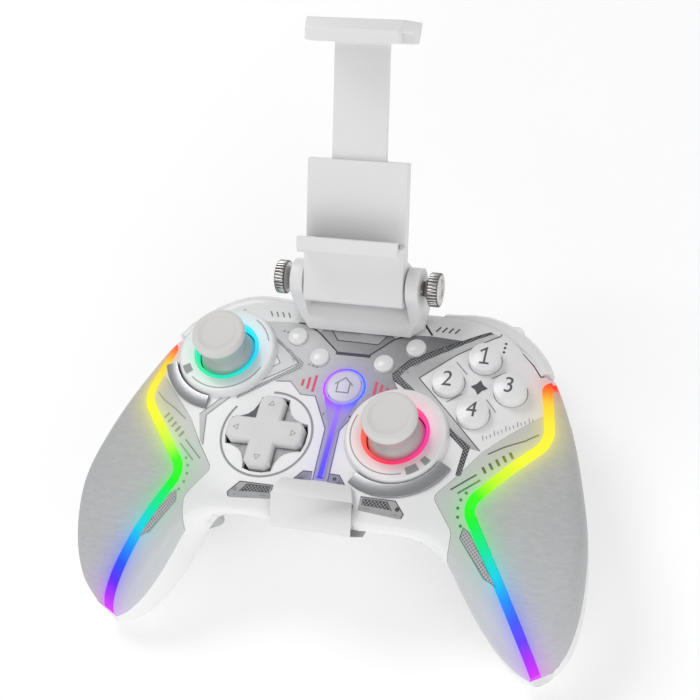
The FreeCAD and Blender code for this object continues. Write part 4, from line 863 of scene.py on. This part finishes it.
def stickPieces(side):
    look, at = stickLook, place["stick"][side]
    top, low = look["capTop"], look["capTop"] - look["capThickness"]
    cap, dish = look["capRadius"], look["dishRadius"]
    # the cap with a raised rim round a shallow dish, on its flared neck, over the skirt that closes the opening
    disc = rounded([
        (0.0, top - look["dishDepth"], 0), (dish - 0.9, top - look["dishDepth"] + 0.06, 1.2), (dish + 0.5, top, 0.8),
        (cap, top, 1.3), (cap, low + 0.6, 1.1), (cap - 1.0, low - 0.2, 0.6), (look["neckTop"], low - 0.6, 0.5),
        (look["neckRadius"], 2.4, 0)], 7)
    start = math.degrees(math.asin(look["neckRadius"] / look["ballRadius"]))
    angles = np.radians(np.linspace(start, look["skirt"], 16))
    ball, pivot = np.column_stack([np.sin(angles), np.cos(angles)]), np.array([0.0, -place["pivotDepth"]])
    dome = ball * look["ballRadius"] + pivot
    inside = ball[::-1] * (look["ballRadius"] - look["ballSkin"]) + pivot
    profile = np.concatenate([disc, dome, inside])
    piece = turnedPiece("stickCapSoft." + side, "stick_cap_" + side, profile, at, finish["cap"], 120)
    # the faces below the cap take the neck's finish, whose grey is partly painted shade under the cap
    piece.data.materials.append(finish["neck"])
    heights = np.array([p.center[2] for p in piece.data.polygons]) * 1000.0 - faceOrigin[2]
    piece.data.polygons.foreach_set("material_index", (heights < low - 0.5).astype(int))
    # the collar: a flat land, a rounded shoulder and a sloped wall that ends under the skin
    inner, outer, level = look["bezelInner"], look["bezelRadius"], look["bezelTop"]
    collar = rounded([(inner, -2.6, 0), (inner, level, 0.35), (outer, level, 0.9), (outer + 0.9, 0.2, 0),
                      (outer + 0.9, -5.0, 0)], 6)
    piece = turnedPiece("stickBezelSoft." + side, "stick_bezel_" + side, collar, at, finish["bezel"], 160)
    colors, distance = ringLight(piece, side)
    fade = np.exp(-np.maximum(distance - look["bezelInner"], 0) / look["glowReach"])
    setColors(piece, "glow", colors, look["glow"] * fade)
    # the lit ring
    inner, outer, level = look["opening"], look["opening"] + look["ringWidth"], place["ringTop"]
    ring = rounded([(inner, -0.6, 0), (inner, level, 0.4), (outer, level, 0.35), (outer, -0.6, 0)])
    piece = turnedPiece("lightRingSoft." + side, "light_ring_" + side, ring, at, finish["ring"], 160)
    setColors(piece, "light", ringLight(piece, side)[0])


def crescentPiece(side):
    # the silver wedge that lies against a collar: its section is swept round the stick, and its ends are closed
    look, (x, y), (centre, sweep) = crescentLook, place["stick"][side], crescentLook[side]
    inner, foot, steps = stickLook["bezelRadius"] + look["gap"], look["foot"], look["steps"]
    outer = inner + look["width"]
    section = rounded([(inner, foot, 0), (inner, look["high"], 0.3), (outer, look["low"], 0.3), (outer, foot, 0)], 4)
    turn = np.radians(np.linspace(centre - sweep / 2, centre + sweep / 2, steps))[:, None]
    radius, height = section.T
    points = np.stack([x + radius * np.cos(turn), y + radius * np.sin(turn), height + 0 * turn], axis=-1)
    count = len(section)
    faces = gridFaces(steps, count, closed=True).tolist()
    faces += [list(range(count))[::-1], list(range((steps - 1) * count, steps * count))]
    return meshPiece("bezelCrescent." + side, points.reshape(-1, 3), faces, "housing", finish["silver"], sharp=30.0,
                     merge=True)


for side in ("left", "right"):
    stickPieces(side)
for piece in [crescentPiece(side) for side in ("left", "right")]:
    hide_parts("bezel_trims")
print("sticks: caps, collars, lit rings and crescents")


# buttons

buttonLook = {
    "action": {"radius": 5.7, "top": 3.6, "dome": 0.9, "edge": 0.7, "finish": "button"},
    "menu": {"radius": 3.52, "top": 1.9, "dome": 0.8, "edge": 0.5, "finish": "button"},
    "home": {"radius": 6.2, "top": 1.7, "dome": 0.6, "edge": 0.5, "finish": "homeCap"},
    "foot": -3.2, "around": 72,
}


def crown(kind, at):
    # the level of a button's crowned top over places in plan
    look = buttonLook[kind]

    def level(plan):
        return look["top"] - look["dome"] * (np.hypot(plan[:, 0] - at[0], plan[:, 1] - at[1]) / look["radius"]) ** 2
    return level


def buttonPiece(kind, number, at):
    # a cylinder with a rounded rim and a crowned top
    look, mark = buttonLook[kind], str(number or "")
    radius, edge = look["radius"], look["edge"]
    run = np.linspace(0, radius - edge, 14)
    rise = np.column_stack([run, crown(kind, (0, 0))(np.column_stack([run, 0 * run]))])
    turn = np.radians(np.linspace(80, 0, 7))
    lip = np.column_stack([radius - edge + edge * np.cos(turn), rise[-1][1] - edge + edge * np.sin(turn)])
    name, node = kind + "ButtonSoft" + ("." + mark if mark else ""), kind + "_button" + ("_" + mark if mark else "")
    profile = np.concatenate([rise, lip, [(radius, buttonLook["foot"])]])
    turnedPiece(name, node, profile, at, finish[look["finish"]], buttonLook["around"])


def moved(points, at):
    return [(at[0] + x, at[1] + y) for x, y in points]


numeralLook = {
    "size": 8.6, "narrow": 0.92, "spacing": 0.7, "lift": 0.04, "shade": 0.9,
    "one": [([(-1.5, 1.5), (0.5, 3.0), (0.5, -3.0)], 0.75), ([(-1.2, -3.0), (2.2, -3.0)], 0.7)],
}


def textTriangles(name, text, size):
    # the flat triangles of a line of text, in mm round its middle
    curve = bpy.data.curves.new(name, "FONT")
    curve.body, curve.size = text, size / 1000.0
    curve.align_x, curve.align_y = "CENTER", "CENTER"
    word = addObject(name, curve)
    bpy.context.view_layer.update()
    mesh = bpy.data.meshes.new_from_object(word)
    bpy.data.objects.remove(word)
    mesh.calc_loop_triangles()
    points = np.array([v.co[:] for v in mesh.vertices]) * 1000.0
    triangles = np.array([t.vertices[:] for t in mesh.loop_triangles])
    bpy.data.meshes.remove(mesh)
    return points, triangles


def numeral(text, at, look):
    # a printed numeral that follows the button's crown: the first in plain strokes, the others from the font
    name, shade = "actionNumeral." + text, look["shade"]
    ink = Print(name, "inkDark", look["lift"], crown("action", at))
    if text == "1":
        for stroke, width in look["one"]:
            ink.line(moved(stroke, at), width, step=look["spacing"], shade=shade)
    else:
        points, triangles = textTriangles(name + "Text", text, look["size"])
        points = points * [look["narrow"], 1.0, 1.0] + [*at, 0.0]
        points, triangles = splitAll(points, triangles, look["spacing"])
        ink.add(points[:, :2], triangles.tolist(), shade)
    ink.done("action_button_" + text, glow=False)


pitch = place["actionPitch"]
actionPlaces = moved([(0, pitch), (-pitch, 0), (pitch, 0), (0, -pitch)], place["action"])
menuPlaces = [(side * x, y) for x, y in place["menu"] for side in (-1, 1)]
for kind, places in (("action", actionPlaces), ("menu", menuPlaces)):
    for number, at in enumerate(places, 1):
        buttonPiece(kind, number, at)
buttonPiece("home", None, place["home"])

for number, at in enumerate(actionPlaces, 1):
    numeral(str(number), at, numeralLook)
softPiece("crossCapSoft", "cross_cap", finish["cross"], 0.7, 4)
print("buttons: caps, numerals and the direction pad")


# printed zones, bands and marks on the housing

def mirrored(points, sign=-1):
    return [(sign * x, y) for x, y in points]


def roundHole(at, radius, count=28):
    turns = [2 * math.pi * k / count for k in range(count)]
    return moved([(radius * math.cos(turn), radius * math.sin(turn)) for turn in turns], at)


rightRun = [(38.2, 36.4), (20.9, 26.4), (16.0, 20.0), (16.8, 17.4)]
rearRun = [(-14.9, 34.0), (-6.1, 26.4), (5.9, 26.4), (13.7, 34.3)]
bandRun = [(48.2, 41.3), (21.6, 23.3), (18.8, 19.3), (23.3, 15.8), (49.0, -5.6)]
zone = {
    "middle": [*rightRun, (19.8, 12.9), (11.8, 7.7), (9.5, 7.9), (7.2, 3.2), (2.5, -4.6), (3.0, -24.6), (-2.5, -24.6),
               (-3.0, -4.7), (-7.4, 3.0), (-9.7, 7.7), (-15.2, 7.7), (-20.2, 12.5), (-25.6, 12.0), (-19.2, 20.2),
               (-38.6, 36.5), (-27.1, 37.3), (-20.6, 37.1), *rearRun, (19.1, 36.7), (26.8, 37.0)],
    "seat": [*rearRun, (11.4, 36.8), (-12.6, 36.8)],
    "seatInner": [(-10.3, 35.4), (-7.3, 31.4), (8.0, 31.2), (10.4, 35.2)],
    "feet": [(3.2, -21.6), (6.5, -21.7), (9.2, -25.0), (2.9, -24.8)],
    "bandRight": [*bandRun, (52.4, -5.9), (25.8, 19.3), (36.8, 30.0), (44.1, 35.5), (50.4, 40.7)],
    "meshRight": [(47.0, 41.8), *rightRun, (23.8, 13.2), (46.9, -6.2), *bandRun[::-1]],
    "meshTail": [(41.2, 0.4), (49.0, -4.8), (47.8, -15.8), (46.2, -16.2), (47.2, -5.3), (39.8, 0.2)],
    "bandLeft": [(-46.7, 41.6), (-38.6, 36.5), (-19.2, 20.2), (-25.5, 15.5), (-38.1, 6.7), (-47.8, -4.4),
                 (-45.8, -16.4), (-47.4, -14.6), (-50.5, -4.4), (-44.4, 2.4), (-32.6, 14.1), (-26.1, 19.6),
                 (-31.9, 27.2), (-47.8, 40.8)],
    "meshLeft": [(-36.0, 34.4), (-17.3, 20.6), (-17.5, 18.2), (-25.8, 12.5), (-38.2, 3.2), (-38.6, 4.6),
                 (-25.9, 14.2), (-19.4, 19.3), (-19.9, 21.1), (-36.4, 33.0)],
    "hookPlate": [(30.6, -34.6), (31.5, -32.8), (28.0, -28.6), (15.7, -28.6), (15.8, -33.4)],
    "hookMesh": [(27.2, -32.0), (25.2, -29.4), (16.6, -29.4), (16.7, -31.4)],
    "hookEdge": [(30.6, -34.6), (31.4, -33.2), (15.7, -32.2), (15.8, -33.4)],
    "insert": [(51.8, -33.2), (51.2, -36.7), (60.3, -46.9), (62.4, -47.6), (64.4, -48.6), (54.0, -34.4)],
}
bend = [(5.2, 5.2), (5.3, 13.6), (6.0, 10.9), (7.1, 8.6), (8.6, 7.1), (10.9, 6.0), (13.6, 5.3)]
starLook = {"tip": 3.0, "notch": 1.1875, "spacing": 0.8, "shade": 0.9}
holeLook = {"menu": 3.8, "home": 8.0}  # radius of the holes that the zones leave round buttons
lifts = {"zone": 0.06, "band": 0.08, "mesh": 0.10, "line": 0.12}  # height of each ink over the skin


def pair(name, *look):
    # a zone and its mirror image, printed alike
    return [(zone[name], *look), (mirrored(zone[name]), *look)]


def bendAt(along, up):
    # the angular petal in a corner of the direction pad
    return moved([(along * x, up * y) for x, y in bend], place["cross"])


def middleShade(x, y):
    return float(np.clip(0.66 - 0.017 * x - 0.1 * (y < 6), 0.08, 0.95))


def seatShade(x, y):
    return 0.42 - 0.014 * x


# painted sheen: the right silver band is lighter in its middle and darker towards its ends
def rightShade(x, y):
    return float(np.clip(0.35 + 0.5 * math.sin((y + 6.0) / 9.0) ** 2, 0, 1))


# painted sheen: the left silver band grows lighter and darker along its length
def leftShade(x, y):
    return float(np.clip(0.75 + 0.25 * math.sin(y / 8.0), 0, 1))


def printZones(name, key, lift, patches):
    # each patch is an outline with its spacing, its shade and its holes
    ink = Print(name, key, lifts[lift])
    for patch in patches:
        ink.patch(*patch)
    ink.done()


holes = [roundHole(at, holeLook["menu"]) for at in menuPlaces] + [roundHole(place["home"], holeLook["home"], 40)]
printZones("zonePrint", "inkZone", "zone", [
    (zone["middle"], 1.5, middleShade, holes), *pair("feet", 2.0, 0.3), *pair("hookPlate", 1.2),
    (zone["seat"], 2.0, seatShade), (bendAt(1, -1), 1.0), (bendAt(-1, -1), 1.0), (bendAt(1, 1), 1.0, 0.6)])
printZones("bandPrint", "inkBand", "band", [
    (zone["bandRight"], 1.4, rightShade), (zone["bandLeft"], 1.4, leftShade), *pair("hookEdge", 1.2, 0.2),
    (zone["seatInner"], 1.4, 0.45)])
printZones("meshPrint", "mesh", "mesh", [(zone["meshRight"], 1.2), (zone["meshTail"], 1.2), *pair("hookMesh", 1.2)])
printZones("meshPrintPale", "meshPale", "mesh", [(zone["meshLeft"], 1.2), *pair("insert", 1.2)])

fine = 0.32
darkInk = Print("seamLines", "inkDark", lifts["line"])
paleInk = Print("seamLinesPale", "inkLine", lifts["line"])
# dark and pale lines, most of them along the edges of the zones
darkLines = [
    (zone["meshRight"][:7] + [(46.2, -15.8)], fine), ([(50.7, 42.1)] + zone["bandRight"][:4:-1], fine),
    (zone["seatInner"], fine), ([(-23.6, 37.3), (-20.4, 37.1), *rearRun, (19.0, 36.7)], 0.55),
    ([(-6.6, 25.9), (6.4, 25.9)], 1.0), ([(19.9, 37.5), (21.6, 43.6), (26.6, 37.4)], 0.7),
    ([(9.5, 7.9), (2.4, -4.6), (3.0, -24.6)], fine), ([(-9.7, 7.7), (-2.9, -4.7), (-2.4, -24.6)], fine),
    ([(27.4, -32.2), (25.2, -29.2), (16.6, -29.2)], 0.25), ([(-27.4, -32.2), (-25.2, -29.2), (-16.6, -29.2)], fine),
]
for corners in ([(31.0, -34.4), (31.6, -32.8), (28.0, -28.5), (15.7, -28.5)], zone["feet"][:3]):
    darkLines += [(corners, fine), (mirrored(corners), fine)]
paleLines = [
    zone["bandLeft"][:6] + [(-45.8, -16.0)], zone["bandLeft"][:7:-1], zone["middle"][3:7], zone["middle"][13:17],
    [(37.6, 27.4), (42.4, 22.8)], [(37.4, 11.0), (42.2, 14.9)], [(51.0, 22.6), (55.4, 26.0)],
    [(50.9, 14.0), (55.0, 9.6)],
]
for corners, width in darkLines:
    darkInk.line(corners, width)
for corners in paleLines:
    paleInk.line(corners, fine)

# marks of this model's own, alike on both sides: ticks, pairs of lines and rows of dots
ticks = [([(27.6 + 2.3 * k, 39.2), (28.9 + 2.3 * k, 41.4)], 0.5) for k in range(4)]
ticks += [(moved([(-0.7, 1.0), (0.7, -1.0)], (55.2 + 2.0 * k, -12.6 + 1.75 * k)), 0.9) for k in range(5)]
ticks += [([(45.4, -21.4), (53.0, -14.6)], 0.45), ([(48.0, -22.2), (54.6, -16.3)], 0.45),
          ([(70.6, 4.6), (66.4, 0.8), (60.4, -2.9), (55.4, -6.6)], 0.35)]
dots = [((58.6 - 9.6 * math.cos(turn), -27.2 + 9.6 * math.sin(turn)), 0.5) for turn in np.radians(range(-36, 44, 18))]
dots += [((29.2, -31.4), 0.75), ((5.2, -23.3), 0.7), ((4.9, 1.0), 0.5)]
for sign, ink in ((1, darkInk), (-1, paleInk)):
    for corners, width in ticks:
        ink.line(mirrored(corners, sign), width)
    for (x, y), radius in dots:
        ink.disc((sign * x, y), radius)
    ink.line(mirrored(zone["insert"], sign), 0.25, closed=True)

# marks on one side: a scale, three dots, short dashes, a star between the action buttons and a dark petal
for k in range(14):
    high = 1.9 if k % 3 == 0 else 1.1
    paleInk.line(moved([(0, 0), (-0.5, high)], (52.8 + 1.16 * k, -1.9 + 0.83 * k)), 0.22)
for k in range(3):
    darkInk.disc((53.0, 38.0 - 1.9 * k), 0.45)
    for at in ((28.6, 33.2), (-28.6, 33.2), (17.6, 22.0), (-15.6, 20.2)):
        paleInk.line(moved([(1.6 * k, -0.4 * k), (1.6 * k + 0.9, -0.4 * k - 0.2)], at), 0.5)
tip, notch = starLook["tip"], starLook["notch"]
star = [(tip, 0.0), (notch, notch), (0.0, tip), (-notch, notch)]
star += [(-x, -y) for x, y in star]
darkInk.patch(moved(star, place["action"]), starLook["spacing"], starLook["shade"])
darkInk.patch(bendAt(-1, 1), 1.0, 0.7)
darkInk.done()
paleInk.done()

redInk = Print("redDashes", "inkRed", lifts["line"])
for sign in (1, -1):
    for x, half in ((11.2, 3.4), (13.4, 2.4), (15.6, 1.4)):
        redInk.line([(sign * x, 12.6 - half), (sign * x, 12.6 + half)], 0.95, shade=0.4)
redInk.done()


# the cross's arc and arrows, the collars' marks and the home button's sign

def flatLevel(height):
    return lambda plan: np.full(len(plan), height)


arcLook = {"inner": 16.2, "outer": 17.0, "start": -215.0, "end": 95.0, "shade": 0.4}
arcInk = Print("crossArc", "inkLine", 0.10)
arcInk.ring(place["cross"], **arcLook)
arcInk.done()
arrowInk = Print("crossArrows", "inkLine", 0.04, flatLevel(place["crossTop"]))
for k in range(4):
    c, s = math.cos(math.pi / 2 * k), math.sin(math.pi / 2 * k)
    corners = [(a * c - b * s, a * s + b * c) for a, b in ((11.6, 0.0), (9.9, 1.0), (9.9, -1.0))]
    arrowInk.line(moved(corners, place["cross"]), 0.28, shade=0.6, closed=True)
arrowInk.done(bodyOf("cross_cap"), glow=False)
collarInk = Print("collarMarks", "inkLine", 0.05, flatLevel(stickLook["bezelTop"]))
collarArcs = {"right": ((-200.0, -70.0), (-64.0, -48.0), (-40.0, -31.0)),
              "left": ((-150.0, -136.0), (-128.0, -20.0), (20.0, 60.0))}
for side, arcs in collarArcs.items():
    for start, end in arcs:
        inner, outer = (14.0, 16.9) if end - start < 20.0 else (15.6, 16.0)
        collarInk.ring(place["stick"][side], inner, outer, start, end, shade=0.5)
collarInk.done(glow=False)
signInk = Print("homeSign", "inkLine", 0.05, crown("home", place["home"]))
for corners in (((-3.3, 0.3), (0.0, 3.3), (3.3, 0.3)), ((-2.2, 1.1), (-2.2, -2.7), (2.2, -2.7), (2.2, 1.1))):
    signInk.line(moved(corners, place["home"]), 0.42, step=0.6, shade=0.1)
signInk.done("home_button", glow=False)
print("printed zones and marks")


# light guide, clip and the rest

guideLook = {
    "ring": [(0.0, "c02cff"), (0.3, "8a3cff"), (0.6, "5a4cff"), (1.0, "2d6cff")],
    "bar": [(0.0, "3a2bf0"), (0.3, "6a42ff"), (0.6, "9a6cff"), (1.0, "a87bff")],
    "edge": "8f88b8", "edgeShare": 0.85, "inner": "b9b0e6", "innerShare": 0.7,
}


def ramp(values, start, length):
    # 0 before the start, and 1 after the length
    return np.clip((values - start) / length, 0, 1)


def blend(colors, others, share):
    return colors * (1 - share[:, None]) + others * share[:, None]


def guideLit(look):
    # the lit ring round the home button and the bar below it, with dimmer edges
    points, triangles = splitAll(*cadTriangles("light_guide"), 0.7)
    piece = meshPiece("lightGuideLit", points, triangles, "housing", finish["strip"], smooth=False)
    x, y, _ = points.T
    fromHome = np.hypot(x - place["home"][0], y - place["home"][1])
    ringPart = ramp(y, 1.0, 5.0)
    edge = ramp(np.abs(x), 0.75, 0.35) * (1 - ringPart)
    inner = (1 - ramp(fromHome, 6.7, 0.4)) * ringPart
    bar, ring = colorAlong(ramp(y, -23.6, 43.0), look["bar"]), colorAlong(ramp(x, -7.7, 15.4), look["ring"])
    colors = blend(bar, ring, ringPart)
    colors = blend(colors, plainColor(look["edge"]), edge * look["edgeShare"])
    colors = blend(colors, plainColor(look["inner"]), inner * look["innerShare"])
    setColors(piece, "light", colors)
    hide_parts("light_guide")


footLook = {"x": 19.0, "y": 35.0, "from": 30.0}  # a place on each slanted cut, and where the foot begins


def cutCorners(piece, look):
    # the fork's foot ends in two slanted corners towards the player: each is sliced off and closed again
    limit = toRow([0.0, look["from"], 0.0])[1]
    for sign in (1.0, -1.0):
        with edited(piece.data) as work:
            near = [face for face in work.faces if min(v.co.y for v in face.verts) > limit]
            edges, corners = {e for face in near for e in face.edges}, {v for face in near for v in face.verts}
            middle = toRow([sign * look["x"], look["y"], 0.0]).tolist()
            cut = bmesh.ops.bisect_plane(work, geom=near + list(edges) + list(corners), dist=1e-6, plane_co=middle,
                                         plane_no=(sign, -1.0, 0.0), clear_outer=True)
            gaps = [e for e in cut["geom_cut"] if isinstance(e, bmesh.types.BMEdge) and e.is_boundary]
            bmesh.ops.holes_fill(work, edges=gaps, sides=0)
            bmesh.ops.recalc_face_normals(work, faces=work.faces)
    smoothFaces(piece.data)


guideLit(guideLook)
cutCorners(softPiece("clipBaseSoft", "clip_base", finish["clip"], 0.9), footLook)
softPiece("clipBlockSoft", "clip_block", finish["clip"], 0.7)
softPiece("clipSlideSoft", "clip_slide", finish["clip"], 0.5)

lipLook = {
    "edge": [(51.24, 41.98, -3.85), (55.91, 39.35, -4.04), (60.42, 36.17, -4.22), (64.41, 32.6, -4.41),
             (67.7, 28.67, -4.6)],
    "section": [(-0.3, -0.45), (1.0, -0.45), (1.0, -1.2), (-0.3, -1.2)],  # share of the reach, and drop
    "reach": (0.6, 0.95), "steps": 25,
}


def bumperLip(side, sign, look):
    # the ledge that closes the shoulder button's gap towards the face, under its inner edge
    edge, count = np.array(look["edge"]), len(look["section"])
    share = np.linspace(0, len(edge) - 1, look["steps"])
    edge = np.column_stack([np.interp(share, np.arange(len(edge)), column) for column in edge.T])
    run = np.gradient(edge[:, :2], axis=0)
    inward = np.column_stack([run[:, 1], -run[:, 0]]) / np.linalg.norm(run, axis=1)[:, None]
    inward *= np.linspace(*look["reach"], len(edge))[:, None]
    rings = [np.column_stack([edge[:, :2] + inward * part, edge[:, 2] + drop]) for part, drop in look["section"]]
    points = np.stack(rings, axis=1).reshape(-1, 3) * [sign, 1.0, 1.0]
    ends = list(range(count))[::-1], list(range(len(points) - count, len(points)))
    faces = [*gridFaces(len(edge), count, closed=True).tolist(), *ends]
    meshPiece("bumperLip." + side, points, faces, bodyOf("bumper_" + side), finish["button"], smooth=False, merge=True)


for side, sign in (("right", 1.0), ("left", -1.0)):
    bumperLip(side, sign, lipLook)
    softPiece("bumperSoft." + side, "bumper_" + side, finish["button"], 0.5)
    softPiece("triggerSoft." + side, "trigger_" + side, finish["button"], 0.5)
    softPiece("macroSoft." + side, "macro_button_" + side, finish["macro"], 0.3, 2)

screwLook = {"radius": 6.1, "ridges": 30, "depth": 0.34, "outer": 30.1, "length": 3.6, "neck": 2.4, "shank": 1.5,
             "shoulder": 23.9, "tip": 17.2}


def thumbScrew(side, sign, look):
    # a knurled knob: the rim's radius is a wave of ridges round it, dished outside, on a neck that flares to it
    radius, outer, neck, shank = look["radius"], look["outer"], look["neck"], look["shank"]
    inner, middle = outer - look["length"], np.array([0.0, *place["hinge"]])
    outline = rounded([
        (0.0, outer - 0.5, 0), (3.6, outer - 0.5, 0.4), (4.2, outer, 0.4), (radius, outer, 0.5), (radius, inner, 0.4),
        (5.0, inner, 0.3), (neck, inner - 2.2, 0.8), (neck + 0.2, look["shoulder"], 0), (shank, look["shoulder"], 0),
        (shank, look["tip"], 0), (0.0, look["tip"], 0)])
    turn = np.linspace(0, 2 * math.pi, 360, endpoint=False)
    far, along = outline.T[:, :, None]
    far = far + ramp(far, 5.1, 0.5) * (np.abs(np.sin(turn * look["ridges"] / 2)) - 1.0) * look["depth"]
    points = np.stack([sign * along + 0 * turn, far * np.cos(turn), far * np.sin(turn)], axis=-1).reshape(-1, 3)
    piece = meshPiece("thumbScrewKnurled." + side, points + middle, gridFaces(len(outline), len(turn), True),
                      side + "_thumb_screw", finish["steel"], sharp=40.0, merge=True)
    # painted shade: the grooves between the ridges and the neck under the knob are darker, where less light comes
    x, y, z = (facePoints(piece.data.vertices) - middle).T
    rim = np.hypot(y, z)
    grooveShade = ramp(radius - rim, 0.0, look["depth"]) * (rim > radius - 0.6)
    setColors(piece, "grooveShade", np.maximum(grooveShade, ramp(inner - np.abs(x), 0.0, 2.0) * 0.7))
    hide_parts("thumb_screw_" + side)


for side, sign in (("right", 1.0), ("left", -1.0)):
    thumbScrew(side, sign, screwLook)

plain = {
    "steel": ["case_screws", "stick_shaft_left", "stick_shaft_right", "trigger_pins", "rumble_motors",
              "rumble_weight_right", "rumble_weight_left", "clip_pin"],
    "dark": ["stick_rocker_left", "stick_rocker_right", "stick_yoke_left", "stick_yoke_right", "gimbal_boxes",
             "cross_pivot", "cross_post"],
    "rubber": ["button_pads", "jaw_pad_low", "jaw_pad_high"],
    "board": ["main_board"], "foil": ["battery"], "port": ["charge_port"],
}
for key, nodes in plain.items():
    for node in nodes:
        mesh = frame["nodes"][node].data
        mesh.materials.clear()
        mesh.materials.append(finish[key])
print("clip, triggers and inner pieces")


# floor, light and camera

stage = {
    "floor": "fbfbfb", "floorGlow": 0.2, "world": 0.5,
    "lamps": [("key", (-0.45, 0.35, 0.9), 0.05, 0.5, 3.0), ("fill", (0.7, -0.5, 0.6), 0.05, 0.8, 1.5),
              ("low", (0.0, -0.8, 0.14), 0.04, 0.6, 1.8)],  # name, place, level aimed at, size and power
}
floorMesh = bpy.data.meshes.new("floor")
floorMesh.from_pydata([(-4, -4, 0), (4, -4, 0), (4, 4, 0), (-4, 4, 0)], [], [(0, 1, 2, 3)])
floor = addObject("floor", floorMesh)
floor.location.z = -0.0005
paper, tree, shader = newMaterial("palePaper")
fill(tree, shader, {"Base Color": linear(stage["floor"]), "Roughness": 0.9, "Emission Color": (1.0, 1.0, 1.0, 1.0),
                    "Emission Strength": stage["floorGlow"]})
floorMesh.materials.append(paper)

world = bpy.data.worlds.new("studio")
world.use_nodes = True
bpy.context.scene.world = world
fill(world.node_tree, world.node_tree.nodes["Background"], {"Color": (1.0, 1.0, 1.0, 1.0), "Strength": stage["world"]})


def areaLamp(name, at, level, size, power):
    data = bpy.data.lights.new(name, "AREA")
    data.shape = "DISK"
    data.size = size
    data.energy = power
    lamp = addObject(name, data)
    lamp.location = at
    lamp.rotation_euler = (Vector((0.0, 0.0, level)) - Vector(at)).to_track_quat("-Z", "Y").to_euler()


for lamp in stage["lamps"]:
    areaLamp(*lamp)

view = {"turn": (-3.62487, -0.329388, 0.495101), "move": (-4.790682, 23.785095, 564.734433), "focal": 1618.206,
        "pixels": 700.0}
angle = math.sqrt(sum(c * c for c in view["turn"]))
turnToView = Matrix.Rotation(angle, 3, Vector(view["turn"]) / angle)
eye = -(turnToView.transposed() @ Vector(view["move"]))
camera = addObject("camera", bpy.data.cameras.new("camera"))
camera.data.sensor_width = 36.0
camera.data.lens = 36.0 * view["focal"] / view["pixels"]
flip = Matrix(((1, 0, 0), (0, -1, 0), (0, 0, -1)))
camera.rotation_euler = (turnToView.transposed() @ flip).to_euler()
camera.location = toRow(eye)
bpy.context.scene.camera = camera
bpy.context.scene.view_settings.view_transform = "Standard"
